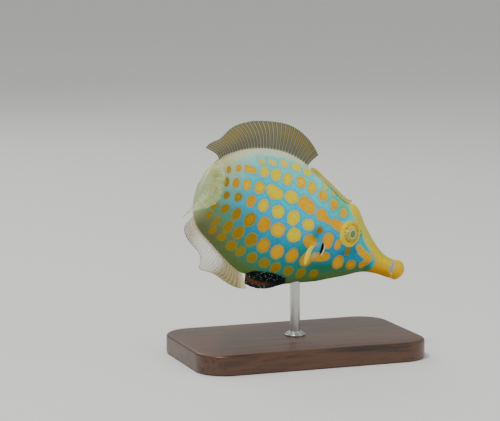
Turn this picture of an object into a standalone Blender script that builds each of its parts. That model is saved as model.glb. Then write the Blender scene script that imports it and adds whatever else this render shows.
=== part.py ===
"""Life-size still model of a harlequin filefish on a plain display stand.

The fish is described straight, in millimetres: u runs from the snout tip towards the tail, v is height
above the axis of the body and w is sideways, positive on the fish's left. The function place bends that
straight fish round its tail curve, pitches its head down and sets it in the model's frame in metres,
with +X towards the head, +Z up and the origin at the middle of the plinth's underside.
"""

import math

import bmesh
import bpy
from mathutils import Matrix, Vector

MM = 0.001
GAP = 0.3

# Whole fish
STANDARD_LENGTH = 84.0
CAUDAL_LENGTH = 14.5
PITCH = math.radians(24.0)
BEND_START = 47.4
BEND_ANGLE = math.radians(76.0)
BEND_POWER = 1.5
SECTION_POWER = 1.78
SNOUT_POWER = 2.0
SNOUT_END = 16.0
RING_POINTS = 28
NOSE_ROUND = 2.3
NOSE_ANGLES = (12, 28, 46, 66)

# Stations of the body: distance from the snout tip, back, belly and half width
STATIONS = (
    (0.0, 2.5, -3.0, 1.8),
    (2.8, 2.8, -3.4, 2.15),
    (5.4, 2.4, -3.5, 2.1),
    (8.9, 2.9, -3.8, 2.15),
    (13.3, 4.9, -5.0, 2.6),
    (18.3, 8.5, -8.2, 3.5),
    (22.0, 12.0, -10.4, 4.4),
    (24.1, 13.8, -11.7, 4.9),
    (26.5, 12.4, -13.1, 5.4),
    (34.0, 15.0, -16.4, 6.4),
    (41.0, 17.2, -18.4, 6.6),
    (45.0, 18.4, -18.8, 6.6),
    (50.4, 18.8, -18.3, 6.2),
    (55.9, 17.9, -16.5, 5.7),
    (62.4, 15.7, -13.9, 4.8),
    (70.0, 12.0, -11.3, 3.5),
    (77.0, 8.1, -8.2, 2.4),
    (80.5, 5.6, -6.3, 1.9),
    (84.0, 4.6, -5.4, 1.6),
)

# Body nodes: name, first and last distance, and the step between rings
SECTIONS = (
    ("mouth", 0.0, 4.4, 0.8),
    ("snout", 4.4, 16.0, 2.0),
    ("head", 16.0, 29.0, 1.6),
    ("trunk", 29.0, 52.0, 2.3),
    ("hind_body", 52.0, 71.0, 2.0),
    ("tail_stem", 71.0, STANDARD_LENGTH, 2.0),
)

# Eye
EYE_U = 23.5
EYE_V = 4.3
EYE_RADIUS = 3.15
EYE_DEPTH = 2.2
EYE_PROUD = 0.95
EYE_FORWARD = math.radians(20.0)
EYE_UP = math.radians(5.0)
EYE_RING_RADIUS = 3.45
EYE_RING_TUBE = 0.6

# Nostrils, gill slit and mouth line
NOSTRILS = ((19.1, 5.4, 0.38), (19.9, 6.2, 0.32))
NOSTRIL_DEPTH = 0.7
GILL_U = 30.5
GILL_V = -3.1
GILL_LENGTH = 3.5
GILL_WIDTH = 0.7
GILL_DEPTH = 1.1
GILL_LEAN = math.radians(8.0)
MOUTH_V = 0.6
MOUTH_CUT_DEPTH = 1.3
MOUTH_CUT_HEIGHT = 0.34
MOUTH_CUT_WIDTH = 6.0
MOUTH_TILT = math.radians(14.0)

# Median fins: their roots on the back and belly, rays, longest ray, lean of the first and last ray
# towards the tail, shares of the full height and the wave that swings them sideways
DORSAL = {
    "start": 42.7,
    "end": 78.6,
    "rays": 33,
    "height": 8.2,
    "front_lean": -35,
    "rear_lean": 78,
    "front_share": 0.46,
    "full_at": 0.38,
    "rear_loss": 0.42,
    "swing": 27,
    "waves": 0.5,
    "phase": -0.1,
    "calm": -0.5,
}
ANAL = {
    "start": 49.6,
    "end": 77.6,
    "rays": 31,
    "height": 7.6,
    "front_lean": -24,
    "rear_lean": 65,
    "front_share": 0.62,
    "full_at": 0.3,
    "rear_loss": 0.3,
    "swing": 46,
    "waves": 1.2,
    "phase": -0.02,
    "calm": 0.9,
}
LEAN_POWER = 0.75
RAY_HALF = 0.42
MEMBRANE_HALF = 0.26
TIP_SHARE = 0.75
MEMBRANE_REACH = 0.975
FIN_ROWS = 6

# Caudal fin: its spread, and how it sets off from the tail stem and curls forwards at the top
CAUDAL_RAYS = 12
CAUDAL_SPREAD = math.radians(20.0)
CAUDAL_LIFT = math.radians(5.0)
CAUDAL_SET = math.radians(-18.0)
CAUDAL_CURL = math.radians(62.0)
CAUDAL_ROUND = 0.16
CAUDAL_INSET = 0.5
CAUDAL_ROWS = 8

# Pectoral fins: directions are tailward, outward and upward
PECTORAL_RAYS = 11
PECTORAL_U = 34.3
PECTORAL_V = -3.7
PECTORAL_BASE = 2.6
PECTORAL_LENGTH = 6.2
PECTORAL_SPREAD = math.radians(38.0)
PECTORAL_WAY = (0.42, 0.60, -0.68)
PECTORAL_ACROSS = (0.62, 0.55, 0.30)
PECTORAL_ROUND = 0.22
PECTORAL_BOW = 0.5
PECTORAL_ROWS = 5

# First dorsal spine, folded back on the nape
SPINE_START, SPINE_END = 25.5, 40.6
SPINE_ROOT_RADIUS, SPINE_TIP_RADIUS = 0.75, 0.4
SPINE_SIDES = 8
SPINE_RINGS = 9
SPINE_LIFT = 0.05
BARB_PAIRS = 6
FIRST_BARB, LAST_BARB = 0.26, 0.94
BARB_LENGTH = 0.75
BARB_RADIUS = 0.26

# Pelvic flap under the belly
FLAP_START, FLAP_END, FLAP_DEPTH = 34.9, 47.8, 2.8
FLAP_ROOT_HALF, FLAP_EDGE_HALF, FLAP_RIB = 0.95, 0.3, 0.08
FLAP_STAYS = 7
FLAP_ROWS = 4
FLAP_RAKE = 0.12

# Stand
PLINTH_LENGTH, PLINTH_WIDTH, PLINTH_HEIGHT = 72.0, 44.0, 6.0
PLINTH_CORNER = 9.0
PLINTH_EDGE = 1.0
ROD_RADIUS = 1.5
ROD_SIDES = 16
ROD_U = 31.9
ROD_SINK = 6.0
BELLY_CLEARANCE = 15.0


def clear_scene():
    for obj in list(bpy.data.objects):
        bpy.data.objects.remove(obj)


def smoothstep(t):
    t = max(0.0, min(1.0, t))
    return t * t * (3.0 - 2.0 * t)


def station_value(u, column):
    """A size of the body at u, on a smooth curve through the stations."""
    rows = STATIONS
    if u >= rows[-1][0]:
        return rows[-1][column]
    i = max(k for k in range(len(rows) - 1) if rows[k][0] <= max(u, 0.0))

    def slope(k):
        low, high = max(k - 1, 0), min(k + 1, len(rows) - 1)
        return (rows[high][column] - rows[low][column]) / (rows[high][0] - rows[low][0])

    span = rows[i + 1][0] - rows[i][0]
    t = (u - rows[i][0]) / span
    a, b = rows[i][column], rows[i + 1][column]
    return (
        (1 + 2 * t) * (1 - t) ** 2 * a
        + t * (1 - t) ** 2 * span * slope(i)
        + t * t * (3 - 2 * t) * b
        + t * t * (t - 1) * span * slope(i + 1)
    )


def back(u):
    return station_value(u, 1)


def belly(u):
    return station_value(u, 2)


def half_width(u):
    return station_value(u, 3)


def section_power(u):
    """How round a section is: an ellipse on the snout, keeled above and below on the body."""
    return SNOUT_POWER + (SECTION_POWER - SNOUT_POWER) * smoothstep((u - SNOUT_END) / SNOUT_END)


def flank(u, v):
    """Half width of the body at height v."""
    middle, half = (back(u) + belly(u)) / 2, (back(u) - belly(u)) / 2
    power = section_power(u)
    share = min(1.0, abs(v - middle) / half)
    return half_width(u) * (1 - share**power) ** (1 / power)


def bend(u):
    """Angle that the tail has turned at u, towards the fish's right."""
    t = (u - BEND_START) / (STANDARD_LENGTH - BEND_START)
    return BEND_ANGLE * min(1.0, max(0.0, t)) ** BEND_POWER


def midline(u, step=0.5):
    """Place of the straight axis's point u in plan, after bending."""
    x, y, at = BEND_START - min(u, BEND_START), 0.0, BEND_START
    while at < u:
        length = min(step, u - at)
        angle = bend(at + length / 2)
        x -= math.cos(angle) * length
        y -= math.sin(angle) * length
        at += length
    return x, y


def pitched(x, z):
    """x and z after the head is pitched down."""
    return (
        x * math.cos(PITCH) + z * math.sin(PITCH),
        -x * math.sin(PITCH) + z * math.cos(PITCH),
    )


ROD_X = pitched(BEND_START - ROD_U, belly(ROD_U))[0]
LOWEST = min(pitched(BEND_START - u, belly(u))[1] for u in range(2, 48))
AXIS_HEIGHT = PLINTH_HEIGHT + BELLY_CLEARANCE - LOWEST


def place(u, w, v):
    """A point of the straight fish, in its place in the model's frame."""
    x, y = midline(u)
    angle = bend(u)
    x, y = x - w * math.sin(angle), y + w * math.cos(angle)
    x, z = pitched(x, v)
    return Vector(((x - ROD_X) * MM, y * MM, (z + AXIS_HEIGHT) * MM))


def fish_axes(u):
    """Tailward, leftward and upward directions of the bent fish at u."""
    angle = bend(u)
    tail_x, tail_z = pitched(-math.cos(angle), 0.0)
    left_x, left_z = pitched(-math.sin(angle), 0.0)
    up_x, up_z = pitched(0.0, 1.0)
    return (
        Vector((tail_x, -math.sin(angle), tail_z)),
        Vector((left_x, math.cos(angle), left_z)),
        Vector((up_x, 0.0, up_z)),
    )


def material(name, colour, roughness, metallic=0.0):
    made = bpy.data.materials.new(name)
    made.use_nodes = True
    shader = made.node_tree.nodes["Principled BSDF"]
    shader.inputs["Base Color"].default_value = (*colour, 1.0)
    shader.inputs["Roughness"].default_value = roughness
    shader.inputs["Metallic"].default_value = metallic
    return made


def make_collection(name):
    made = bpy.data.collections.new(name)
    bpy.context.scene.collection.children.link(made)
    return made


def new_object(name, mesh_builder, collection, finish=None):
    """An object whose mesh is what the builder leaves in a fresh bmesh."""
    bm = bmesh.new()
    mesh_builder(bm)
    mesh = bpy.data.meshes.new(name)
    bm.to_mesh(mesh)
    bm.free()
    obj = bpy.data.objects.new(name, mesh)
    collection.objects.link(obj)
    if finish:
        mesh.materials.append(finish)
    return obj


def shade_smooth(obj, angle=40.0):
    obj.data.shade_smooth()
    obj.data.set_sharp_from_angle(angle=math.radians(angle))


def fuse(obj, pieces):
    """Joins closed pieces to obj in one union, and removes them."""
    group = make_collection(obj.name + "_pieces")
    for piece in pieces:
        for old in list(piece.users_collection):
            old.objects.unlink(piece)
        group.objects.link(piece)
    union = obj.modifiers.new("union", "BOOLEAN")
    union.operation = "UNION"
    union.operand_type = "COLLECTION"
    union.collection = group
    bpy.context.view_layer.update()
    graph = bpy.context.evaluated_depsgraph_get()
    joined = bpy.data.meshes.new_from_object(obj.evaluated_get(graph))
    obj.modifiers.clear()
    obj.data = joined
    for piece in pieces:
        bpy.data.objects.remove(piece)
    bpy.data.collections.remove(group)
    keep_largest(obj)


def keep_largest(obj):
    """Leaves only the largest closed surface of a mesh."""
    bm = bmesh.new()
    bm.from_mesh(obj.data)
    groups, seen = [], set()
    for start in bm.verts:
        if start in seen:
            continue
        group, todo = set(), [start]
        while todo:
            vert = todo.pop()
            if vert in group:
                continue
            group.add(vert)
            todo.extend(edge.other_vert(vert) for edge in vert.link_edges)
        seen |= group
        groups.append(group)
    largest = max(groups, key=len)
    bmesh.ops.delete(bm, geom=[vert for vert in bm.verts if vert not in largest], context="VERTS")
    bm.to_mesh(obj.data)
    bm.free()


def cut(obj, cutters):
    """Takes the cutters out of obj, and keeps them as hidden helpers."""
    group = make_collection(obj.name + "_cutters")
    for cutter in cutters:
        for old in list(cutter.users_collection):
            old.objects.unlink(cutter)
        group.objects.link(cutter)
        cutter.hide_render = True
        cutter.display_type = "WIRE"
    difference = obj.modifiers.new("cut", "BOOLEAN")
    difference.operation = "DIFFERENCE"
    difference.operand_type = "COLLECTION"
    difference.collection = group
    group.hide_render = True


def ring(u):
    """The section of the body at u, as places in the frame."""
    middle, half = (back(u) + belly(u)) / 2, (back(u) - belly(u)) / 2
    rounding = 1.0
    if u < NOSE_ROUND:
        rounding = math.sqrt(max(0.0, 1 - ((NOSE_ROUND - u) / NOSE_ROUND) ** 2))
    power = 2 / section_power(u)
    points = []
    for k in range(RING_POINTS):
        angle = 2 * math.pi * k / RING_POINTS
        s, c = math.sin(angle), math.cos(angle)
        w = half_width(u) * rounding * math.copysign(abs(s) ** power, s)
        v = middle + half * rounding * math.copysign(abs(c) ** power, c)
        points.append(place(u, w, v))
    return points


def loft(bm, rings):
    """Closed solid through rings of equal counts, capped at both ends."""
    rows = [[bm.verts.new(p) for p in points] for points in rings]
    count = len(rows[0])
    for low, high in zip(rows, rows[1:]):
        for k in range(count):
            following = (k + 1) % count
            bm.faces.new((low[k], high[k], high[following], low[following]))
    bm.faces.new(rows[0])
    bm.faces.new(list(reversed(rows[-1])))
    bmesh.ops.recalc_face_normals(bm, faces=bm.faces)


def body_section(name, first, last, step, collection, finish):
    start = first + GAP / 2 if first else 0.0
    end = last - GAP / 2 if last < STANDARD_LENGTH else last
    count = max(2, round((end - start) / step))
    stops = [start + (end - start) * k / count for k in range(count + 1)]
    if not first:
        nose = [NOSE_ROUND * (1 - math.cos(math.radians(a))) for a in NOSE_ANGLES]
        stops = nose + [u for u in stops if u > nose[-1] + step / 2]
    obj = new_object(name, lambda bm: loft(bm, [ring(u) for u in stops]), collection, finish)
    shade_smooth(obj, 60)
    return obj


def sheet(bm, points, halves):
    """Closed thin solid on both sides of a curved middle surface.

    points[i][j] is the middle surface, i along the root and j from root to tip, and halves[i][j] is half
    the thickness there. Both faces are split into the same triangles.
    """
    columns, rows = len(points), len(points[0])
    faces = {}
    for side in (1, -1):
        for i in range(columns):
            for j in range(rows):
                along = points[min(i + 1, columns - 1)][j] - points[max(i - 1, 0)][j]
                out = points[i][min(j + 1, rows - 1)] - points[i][max(j - 1, 0)]
                normal = along.cross(out).normalized()
                offset = normal * (halves[i][j] * MM * side)
                faces[side, i, j] = bm.verts.new(points[i][j] + offset)
    for i in range(columns - 1):
        for j in range(rows - 1):
            corners = ((i, j), (i + 1, j), (i + 1, j + 1), (i, j + 1))
            for side in (1, -1):
                a, b, c, d = (faces[side, *corner] for corner in corners)
                for triangle in ((a, b, c), (a, c, d)):
                    bm.faces.new(triangle if side > 0 else tuple(reversed(triangle)))
    rim = [(i, 0) for i in range(columns)]
    rim += [(columns - 1, j) for j in range(1, rows)]
    rim += [(i, rows - 1) for i in reversed(range(columns - 1))]
    rim += [(0, j) for j in reversed(range(1, rows - 1))]
    for here, following in zip(rim, rim[1:] + rim[:1]):
        bm.faces.new((faces[1, *here], faces[-1, *here], faces[-1, *following], faces[1, *following]))
    bmesh.ops.recalc_face_normals(bm, faces=bm.faces)


def rayed_fin(name, rays, rows, point, collection, finish):
    """A fin whose rays stand as ridges on both faces of its membrane.

    point(t, r) gives the middle surface, t along the root and r from root to tip, both from 0 to 1.
    """
    columns = 2 * rays + 1
    shares = [j / (rows - 1) for j in range(rows)]
    points, halves = [], []
    for i in range(columns):
        on_ray = i % 2 == 1
        root = RAY_HALF if on_ray else MEMBRANE_HALF
        reach = 1.0 if on_ray or i in (0, columns - 1) else MEMBRANE_REACH
        points.append([point(i / (columns - 1), share * reach) for share in shares])
        halves.append([max(MEMBRANE_HALF, root * (1 - (1 - TIP_SHARE) * share)) for share in shares])
    obj = new_object(name, lambda bm: sheet(bm, points, halves), collection, finish)
    shade_smooth(obj, 50)
    return obj


def median_fin(name, sizes, edge, side, collection, finish):
    """Dorsal fin (side 1, edge back) or anal fin (side -1, edge belly), on the contour of the body."""

    def point(t, r):
        u = sizes["start"] + (sizes["end"] - sizes["start"]) * t
        lean = sizes["front_lean"] + (sizes["rear_lean"] - sizes["front_lean"]) * t**LEAN_POWER
        rise = math.sin(math.pi / 2 * min(1.0, t / sizes["full_at"]))
        share = sizes["front_share"] + (1 - sizes["front_share"]) * rise
        length = sizes["height"] * (share - sizes["rear_loss"] * max(0.0, t - 0.5)) * r
        wave = math.sin(2 * math.pi * (sizes["waves"] * t + sizes["phase"])) * (1 - sizes["calm"] * t * t)
        swing = math.radians(sizes["swing"]) * wave * smoothstep(r) * r
        in_plane = length * math.cos(swing)
        root = edge(u) + side * (GAP + RAY_HALF / 4)
        return place(
            u + in_plane * math.sin(math.radians(lean)),
            length * math.sin(swing),
            root + side * in_plane * math.cos(math.radians(lean)),
        )

    return rayed_fin(name, sizes["rays"], FIN_ROWS, point, collection, finish)


def caudal_fin(collection, finish):
    """Rounded tail fin, cupped, with its upper lobe curled forwards over the fish's right side."""
    root_u = STANDARD_LENGTH + GAP
    tail, left, up = fish_axes(root_u)
    root_low, root_high = belly(root_u) + CAUDAL_INSET, back(root_u) - CAUDAL_INSET
    steps = 8

    def point(t, r):
        lobe = 2 * t - 1
        fan = CAUDAL_SPREAD * lobe + CAUDAL_LIFT
        length = CAUDAL_LENGTH * (1 - CAUDAL_ROUND * lobe * lobe) * r
        lobe_curl = CAUDAL_CURL * smoothstep((lobe + 0.6) / 1.6)
        here = place(root_u, 0, root_low + (root_high - root_low) * t)
        for k in range(steps):
            share = (k + 0.5) / steps * r
            curl = CAUDAL_SET + lobe_curl * share
            flat = (tail * math.cos(curl) - left * math.sin(curl)) * math.cos(fan)
            here = here + (flat + up * math.sin(fan)) * (length / steps * MM)
        return here

    return rayed_fin("caudal_fin", CAUDAL_RAYS, CAUDAL_ROWS, point, collection, finish)


def pectoral_fin(name, side, collection, finish):
    """Small fan behind the gill slit. side is 1 on the fish's left and -1 on its right."""
    ahead = Vector(PECTORAL_WAY).normalized()
    across = Vector(PECTORAL_ACROSS)
    across = (across - ahead * across.dot(ahead)).normalized()

    def point(t, r):
        lobe = 2 * t - 1
        root_v = PECTORAL_V + PECTORAL_BASE / 2 * lobe
        root_u = PECTORAL_U - lobe / 4
        out = flank(root_u, root_v) + GAP + RAY_HALF
        fan = PECTORAL_SPREAD * lobe
        length = PECTORAL_LENGTH * (1 - PECTORAL_ROUND * lobe * lobe) * r
        way = ahead * math.cos(fan) + across * math.sin(fan)
        bow = PECTORAL_BOW * math.sin(math.pi * r) * (1 - lobe * lobe)
        return place(
            root_u + way.x * length,
            side * (out + way.y * length + bow),
            root_v + way.z * length,
        )

    return rayed_fin(name, PECTORAL_RAYS, PECTORAL_ROWS, point, collection, finish)


def pelvic_flap(collection, finish):
    """Fold of skin hung from the belly keel, deepest near its rear end, with its stays as low ribs."""
    columns = 2 * FLAP_STAYS + 1
    shares = [j / (FLAP_ROWS - 1) for j in range(FLAP_ROWS)]
    points, halves = [], []
    for i in range(columns):
        t = i / (columns - 1)
        u = FLAP_START + (FLAP_END - FLAP_START) * t
        depth = FLAP_DEPTH * (0.3 + 0.7 * smoothstep(t / 0.75)) * (1 - 0.7 * smoothstep((t - 0.85) / 0.15))
        rib = FLAP_RIB if i % 2 else 0.0
        points.append([place(u + FLAP_RAKE * depth * s, 0, belly(u) - GAP - depth * s) for s in shares])
        halves.append([FLAP_ROOT_HALF + (FLAP_EDGE_HALF - FLAP_ROOT_HALF) * s**0.7 + rib for s in shares])
    obj = new_object("pelvic_flap", lambda bm: sheet(bm, points, halves), collection, finish)
    shade_smooth(obj, 50)
    return obj


def cone(bm, base, tip, radius, sides):
    """Pointed solid from base to tip."""
    axis = tip - base
    turn = axis.to_track_quat("Z", "Y").to_matrix().to_4x4()
    matrix = Matrix.Translation((base + tip) / 2) @ turn
    bmesh.ops.create_cone(
        bm,
        cap_ends=True,
        segments=sides,
        radius1=radius,
        radius2=0.0,
        depth=axis.length,
        matrix=matrix,
    )


def dorsal_spine(collection, finish):
    """Barbed first spine, lying back on the nape, on the contour of the back."""

    def centre(t):
        u = SPINE_START + (SPINE_END - SPINE_START) * t
        return u, back(u) + GAP + radius(t) + SPINE_LIFT * (1 + t)

    def radius(t):
        return SPINE_ROOT_RADIUS + (SPINE_TIP_RADIUS - SPINE_ROOT_RADIUS) * t

    def spine_ring(t):
        u, v = centre(t)
        size = radius(t)
        angles = [2 * math.pi * k / SPINE_SIDES for k in range(SPINE_SIDES)]
        return [place(u, size * math.sin(a), v + size * math.cos(a)) for a in angles]

    obj = new_object(
        "dorsal_spine",
        lambda bm: loft(bm, [spine_ring(k / SPINE_RINGS) for k in range(SPINE_RINGS + 1)]),
        collection,
        finish,
    )
    barbs = []
    for k in range(BARB_PAIRS):
        t = FIRST_BARB + (LAST_BARB - FIRST_BARB) * k / (BARB_PAIRS - 1)
        u, v = centre(t)
        size = radius(t)
        for side in (1, -1):
            base = place(u, side * size * 0.3, v)
            tip = place(u - BARB_LENGTH * 0.55, side * (size + BARB_LENGTH * 0.6), v + 0.1)
            name = f"barb_{k}_{side}"
            barbs.append(new_object(name, lambda bm: cone(bm, base, tip, BARB_RADIUS * MM, 5), collection))
    fuse(obj, barbs)
    shade_smooth(obj, 40)
    return obj


def eye_matrix(side):
    """Turns +Z of a shape into the eye's outward axis and sets it at the eye's centre."""
    tail, left, up = fish_axes(EYE_U)
    out = (left * side * math.cos(EYE_FORWARD) - tail * math.sin(EYE_FORWARD)) * math.cos(EYE_UP)
    out = out + up * math.sin(EYE_UP)
    surface = flank(EYE_U, EYE_V)
    centre = place(EYE_U, side * (surface + EYE_PROUD - EYE_DEPTH), EYE_V)
    return Matrix.Translation(centre) @ out.to_track_quat("Z", "Y").to_matrix().to_4x4()


def ellipsoid(bm, matrix, radius, depth, segments=20, rings=10):
    size = Matrix.Diagonal((radius * MM, radius * MM, depth * MM, 1.0))
    bmesh.ops.create_uvsphere(bm, u_segments=segments, v_segments=rings, radius=1.0, matrix=matrix @ size)


def eye(name, side, collection, finish):
    obj = new_object(
        name,
        lambda bm: ellipsoid(bm, eye_matrix(side), EYE_RADIUS, EYE_DEPTH),
        collection,
        finish,
    )
    shade_smooth(obj, 60)
    return obj


def round_bar(bm, start, end, radius, sides):
    """Cylinder between two points."""
    axis = end - start
    turn = axis.to_track_quat("Z", "Y").to_matrix().to_4x4()
    bmesh.ops.create_cone(
        bm,
        cap_ends=True,
        segments=sides,
        radius1=radius,
        radius2=radius,
        depth=axis.length,
        matrix=Matrix.Translation((start + end) / 2) @ turn,
    )


def head_details(head):
    """Raises the rings of skin round the eyes, and cuts the sockets and nostrils."""
    scene = bpy.context.scene.collection
    rings, cutters = [], []
    for side in (1, -1):
        matrix = eye_matrix(side)
        seat = matrix @ Matrix.Translation((0, 0, (EYE_DEPTH - EYE_PROUD + 0.15) * MM))
        bpy.ops.mesh.primitive_torus_add(
            major_segments=26,
            minor_segments=8,
            major_radius=EYE_RING_RADIUS * MM,
            minor_radius=EYE_RING_TUBE * MM,
        )
        bpy.context.object.matrix_world = seat
        rings.append(bpy.context.object)
    fuse(head, rings)
    for side in (1, -1):
        matrix = eye_matrix(side)
        socket_size = (EYE_RADIUS + GAP, EYE_DEPTH + GAP)
        cutters.append(
            new_object(f"socket_{side}", lambda bm: ellipsoid(bm, matrix, *socket_size), scene)
        )
        for k, (u, v, radius) in enumerate(NOSTRILS):
            out = place(u, side * (flank(u, v) + 1), v)
            deep = place(u, side * (flank(u, v) - NOSTRIL_DEPTH), v)
            cutters.append(
                new_object(f"nostril_{k}_{side}", lambda bm: round_bar(bm, out, deep, radius * MM, 8), scene)
            )
    cut(head, cutters)
    shade_smooth(head, 45)


def gill_cutter(side, scene):
    """Slit with round ends in front of the pectoral fin."""
    tail, left, up = fish_axes(GILL_U)
    along = up * math.cos(GILL_LEAN) - tail * math.sin(GILL_LEAN)
    out = left * side
    turn = Matrix((along.cross(out), along, out)).transposed().to_4x4()
    centre = place(GILL_U, side * flank(GILL_U, GILL_V), GILL_V)
    size = Matrix.Diagonal((GILL_WIDTH / 2 * MM, GILL_LENGTH / 2 * MM, GILL_DEPTH * MM, 1.0))

    def build(bm):
        matrix = Matrix.Translation(centre) @ turn @ size
        bmesh.ops.create_uvsphere(bm, u_segments=12, v_segments=8, radius=1.0, matrix=matrix)
        bmesh.ops.recalc_face_normals(bm, faces=bm.faces)

    return new_object(f"gill_{side}", build, scene)


def mouth_details(mouth):
    """Cuts the line of the closed mouth between the lips."""
    scene = bpy.context.scene.collection
    tail, left, up = fish_axes(0.0)
    along = tail * math.cos(MOUTH_TILT) - up * math.sin(MOUTH_TILT)
    turn = Matrix((along, left, along.cross(left))).transposed().to_4x4()
    centre = place(0.0, 0.0, MOUTH_V)
    size = Matrix.Diagonal((2 * MOUTH_CUT_DEPTH * MM, MOUTH_CUT_WIDTH * MM, MOUTH_CUT_HEIGHT * MM, 1.0))

    def build(bm):
        bmesh.ops.create_cube(bm, size=1.0, matrix=Matrix.Translation(centre) @ turn @ size)
        bmesh.ops.recalc_face_normals(bm, faces=bm.faces)

    cut(mouth, [new_object("mouth_line", build, scene)])


def stand(trunk, collection, wood, metal):
    """Plinth with rounded corners, and a rod sunk into a socket in the belly, cut with the gill slits."""
    def box(bm):
        size = Matrix.Diagonal((PLINTH_LENGTH * MM, PLINTH_WIDTH * MM, PLINTH_HEIGHT * MM, 1.0))
        rise = Matrix.Translation((0, 0, PLINTH_HEIGHT / 2 * MM))
        bmesh.ops.create_cube(bm, size=1.0, matrix=rise @ size)

    plinth = new_object("stand_base", box, collection, wood)
    weights = plinth.data.attributes.new("bevel_weight_edge", "FLOAT", "EDGE")
    for edge in plinth.data.edges:
        low, high = (plinth.data.vertices[i].co.z for i in edge.vertices)
        weights.data[edge.index].value = 1.0 if low != high else 0.0
    corners = plinth.modifiers.new("corners", "BEVEL")
    corners.limit_method = "WEIGHT"
    corners.width = PLINTH_CORNER * MM
    corners.segments = 6
    rim = plinth.modifiers.new("rim", "BEVEL")
    rim.limit_method = "ANGLE"
    rim.angle_limit = math.radians(60)
    rim.width = PLINTH_EDGE * MM
    rim.segments = 2
    shade_smooth(plinth)

    keel = place(ROD_U, 0, belly(ROD_U))
    hole_top = Vector((0, 0, keel.z + ROD_SINK * MM))
    below = Vector((0, 0, keel.z - 10 * MM))
    drill_radius = (ROD_RADIUS + GAP) * MM
    slits = [gill_cutter(side, bpy.context.scene.collection) for side in (1, -1)]
    drill = new_object(
        "rod_socket",
        lambda bm: round_bar(bm, below, hole_top, drill_radius, ROD_SIDES),
        bpy.context.scene.collection,
    )
    cut(trunk, [drill, *slits])
    foot = Vector((0, 0, (PLINTH_HEIGHT + GAP) * MM))
    rod_top = hole_top - Vector((0, 0, GAP * MM))
    rod = new_object(
        "stand_rod",
        lambda bm: round_bar(bm, foot, rod_top, ROD_RADIUS * MM, ROD_SIDES),
        collection,
        metal,
    )
    shade_smooth(rod)


def main():
    clear_scene()
    fish = make_collection("harlequin_filefish")
    skin = material("skin", (0.16, 0.62, 0.72), 0.45)
    orange = material("orange_skin", (0.93, 0.55, 0.08), 0.45)
    clear_fin = material("fin_membrane", (0.62, 0.58, 0.42), 0.35)
    black = material("black_flap", (0.02, 0.04, 0.04), 0.5)
    gold = material("eye_gold", (0.85, 0.66, 0.10), 0.15)
    tan = material("spine_tan", (0.72, 0.58, 0.33), 0.5)
    wood = material("plinth_wood", (0.10, 0.06, 0.04), 0.4)
    metal = material("rod_metal", (0.75, 0.75, 0.74), 0.25, 1.0)

    body = {}
    for name, first, last, step in SECTIONS:
        finish = orange if last <= SNOUT_END else skin
        body[name] = body_section(name, first, last, step, fish, finish)
    head_details(body["head"])
    mouth_details(body["mouth"])
    eye("eye_left", 1, fish, gold)
    eye("eye_right", -1, fish, gold)
    dorsal_spine(fish, tan)
    median_fin("dorsal_fin", DORSAL, back, 1, fish, clear_fin)
    median_fin("anal_fin", ANAL, belly, -1, fish, clear_fin)
    caudal_fin(fish, clear_fin)
    pectoral_fin("pectoral_fin_left", 1, fish, clear_fin)
    pectoral_fin("pectoral_fin_right", -1, fish, clear_fin)
    pelvic_flap(fish, black)
    stand(body["trunk"], fish, wood, metal)


main()
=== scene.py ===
"""Looks of a life-size harlequin filefish on its display stand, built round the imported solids.

Lengths of the fish are in millimetres: u runs from the snout tip towards the tail, v is height above the
axis of the body and w is sideways, positive on the fish's left. The function place sets such points in
the frame of the solids, in metres, with +X towards the head and +Z up.
"""

import math

import bpy
import numpy as np
from bpy.props import FloatProperty, FloatVectorProperty, IntProperty, PointerProperty
from mathutils import Matrix, Vector


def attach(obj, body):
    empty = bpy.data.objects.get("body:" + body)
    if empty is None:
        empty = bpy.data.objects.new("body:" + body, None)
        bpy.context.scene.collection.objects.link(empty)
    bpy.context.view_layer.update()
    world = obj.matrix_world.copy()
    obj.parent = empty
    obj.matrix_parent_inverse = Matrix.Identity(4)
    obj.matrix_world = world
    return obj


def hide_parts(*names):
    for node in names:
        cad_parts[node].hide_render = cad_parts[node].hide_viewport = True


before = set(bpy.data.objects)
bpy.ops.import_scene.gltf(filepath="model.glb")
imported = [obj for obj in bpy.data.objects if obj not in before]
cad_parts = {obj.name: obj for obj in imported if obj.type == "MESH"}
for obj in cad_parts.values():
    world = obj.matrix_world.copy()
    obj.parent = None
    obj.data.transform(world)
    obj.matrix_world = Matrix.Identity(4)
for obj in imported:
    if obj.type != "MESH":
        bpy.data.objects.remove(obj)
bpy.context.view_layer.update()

bl_info = {
    "name": "Harlequin filefish model",
    "version": (1, 0, 0),
    "blender": (4, 5, 0),
    "location": "View3D > Sidebar > Filefish",
    "description": "Builds a life-size harlequin filefish on a display stand",
    "category": "Add Mesh",
}

MM = 0.001

# Body, with the same sizes as its solids
STANDARD_LENGTH = 84.0
CAUDAL_LENGTH = 14.5
PITCH = math.radians(24.0)
BEND_START = 47.4
BEND_ANGLE = math.radians(76.0)
BEND_POWER = 1.5
BEND_STEP = 0.1
SECTION_POWER = 1.78
SNOUT_POWER = 2.0
SNOUT_END = 16.0
NOSE_ROUND = 2.3

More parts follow.
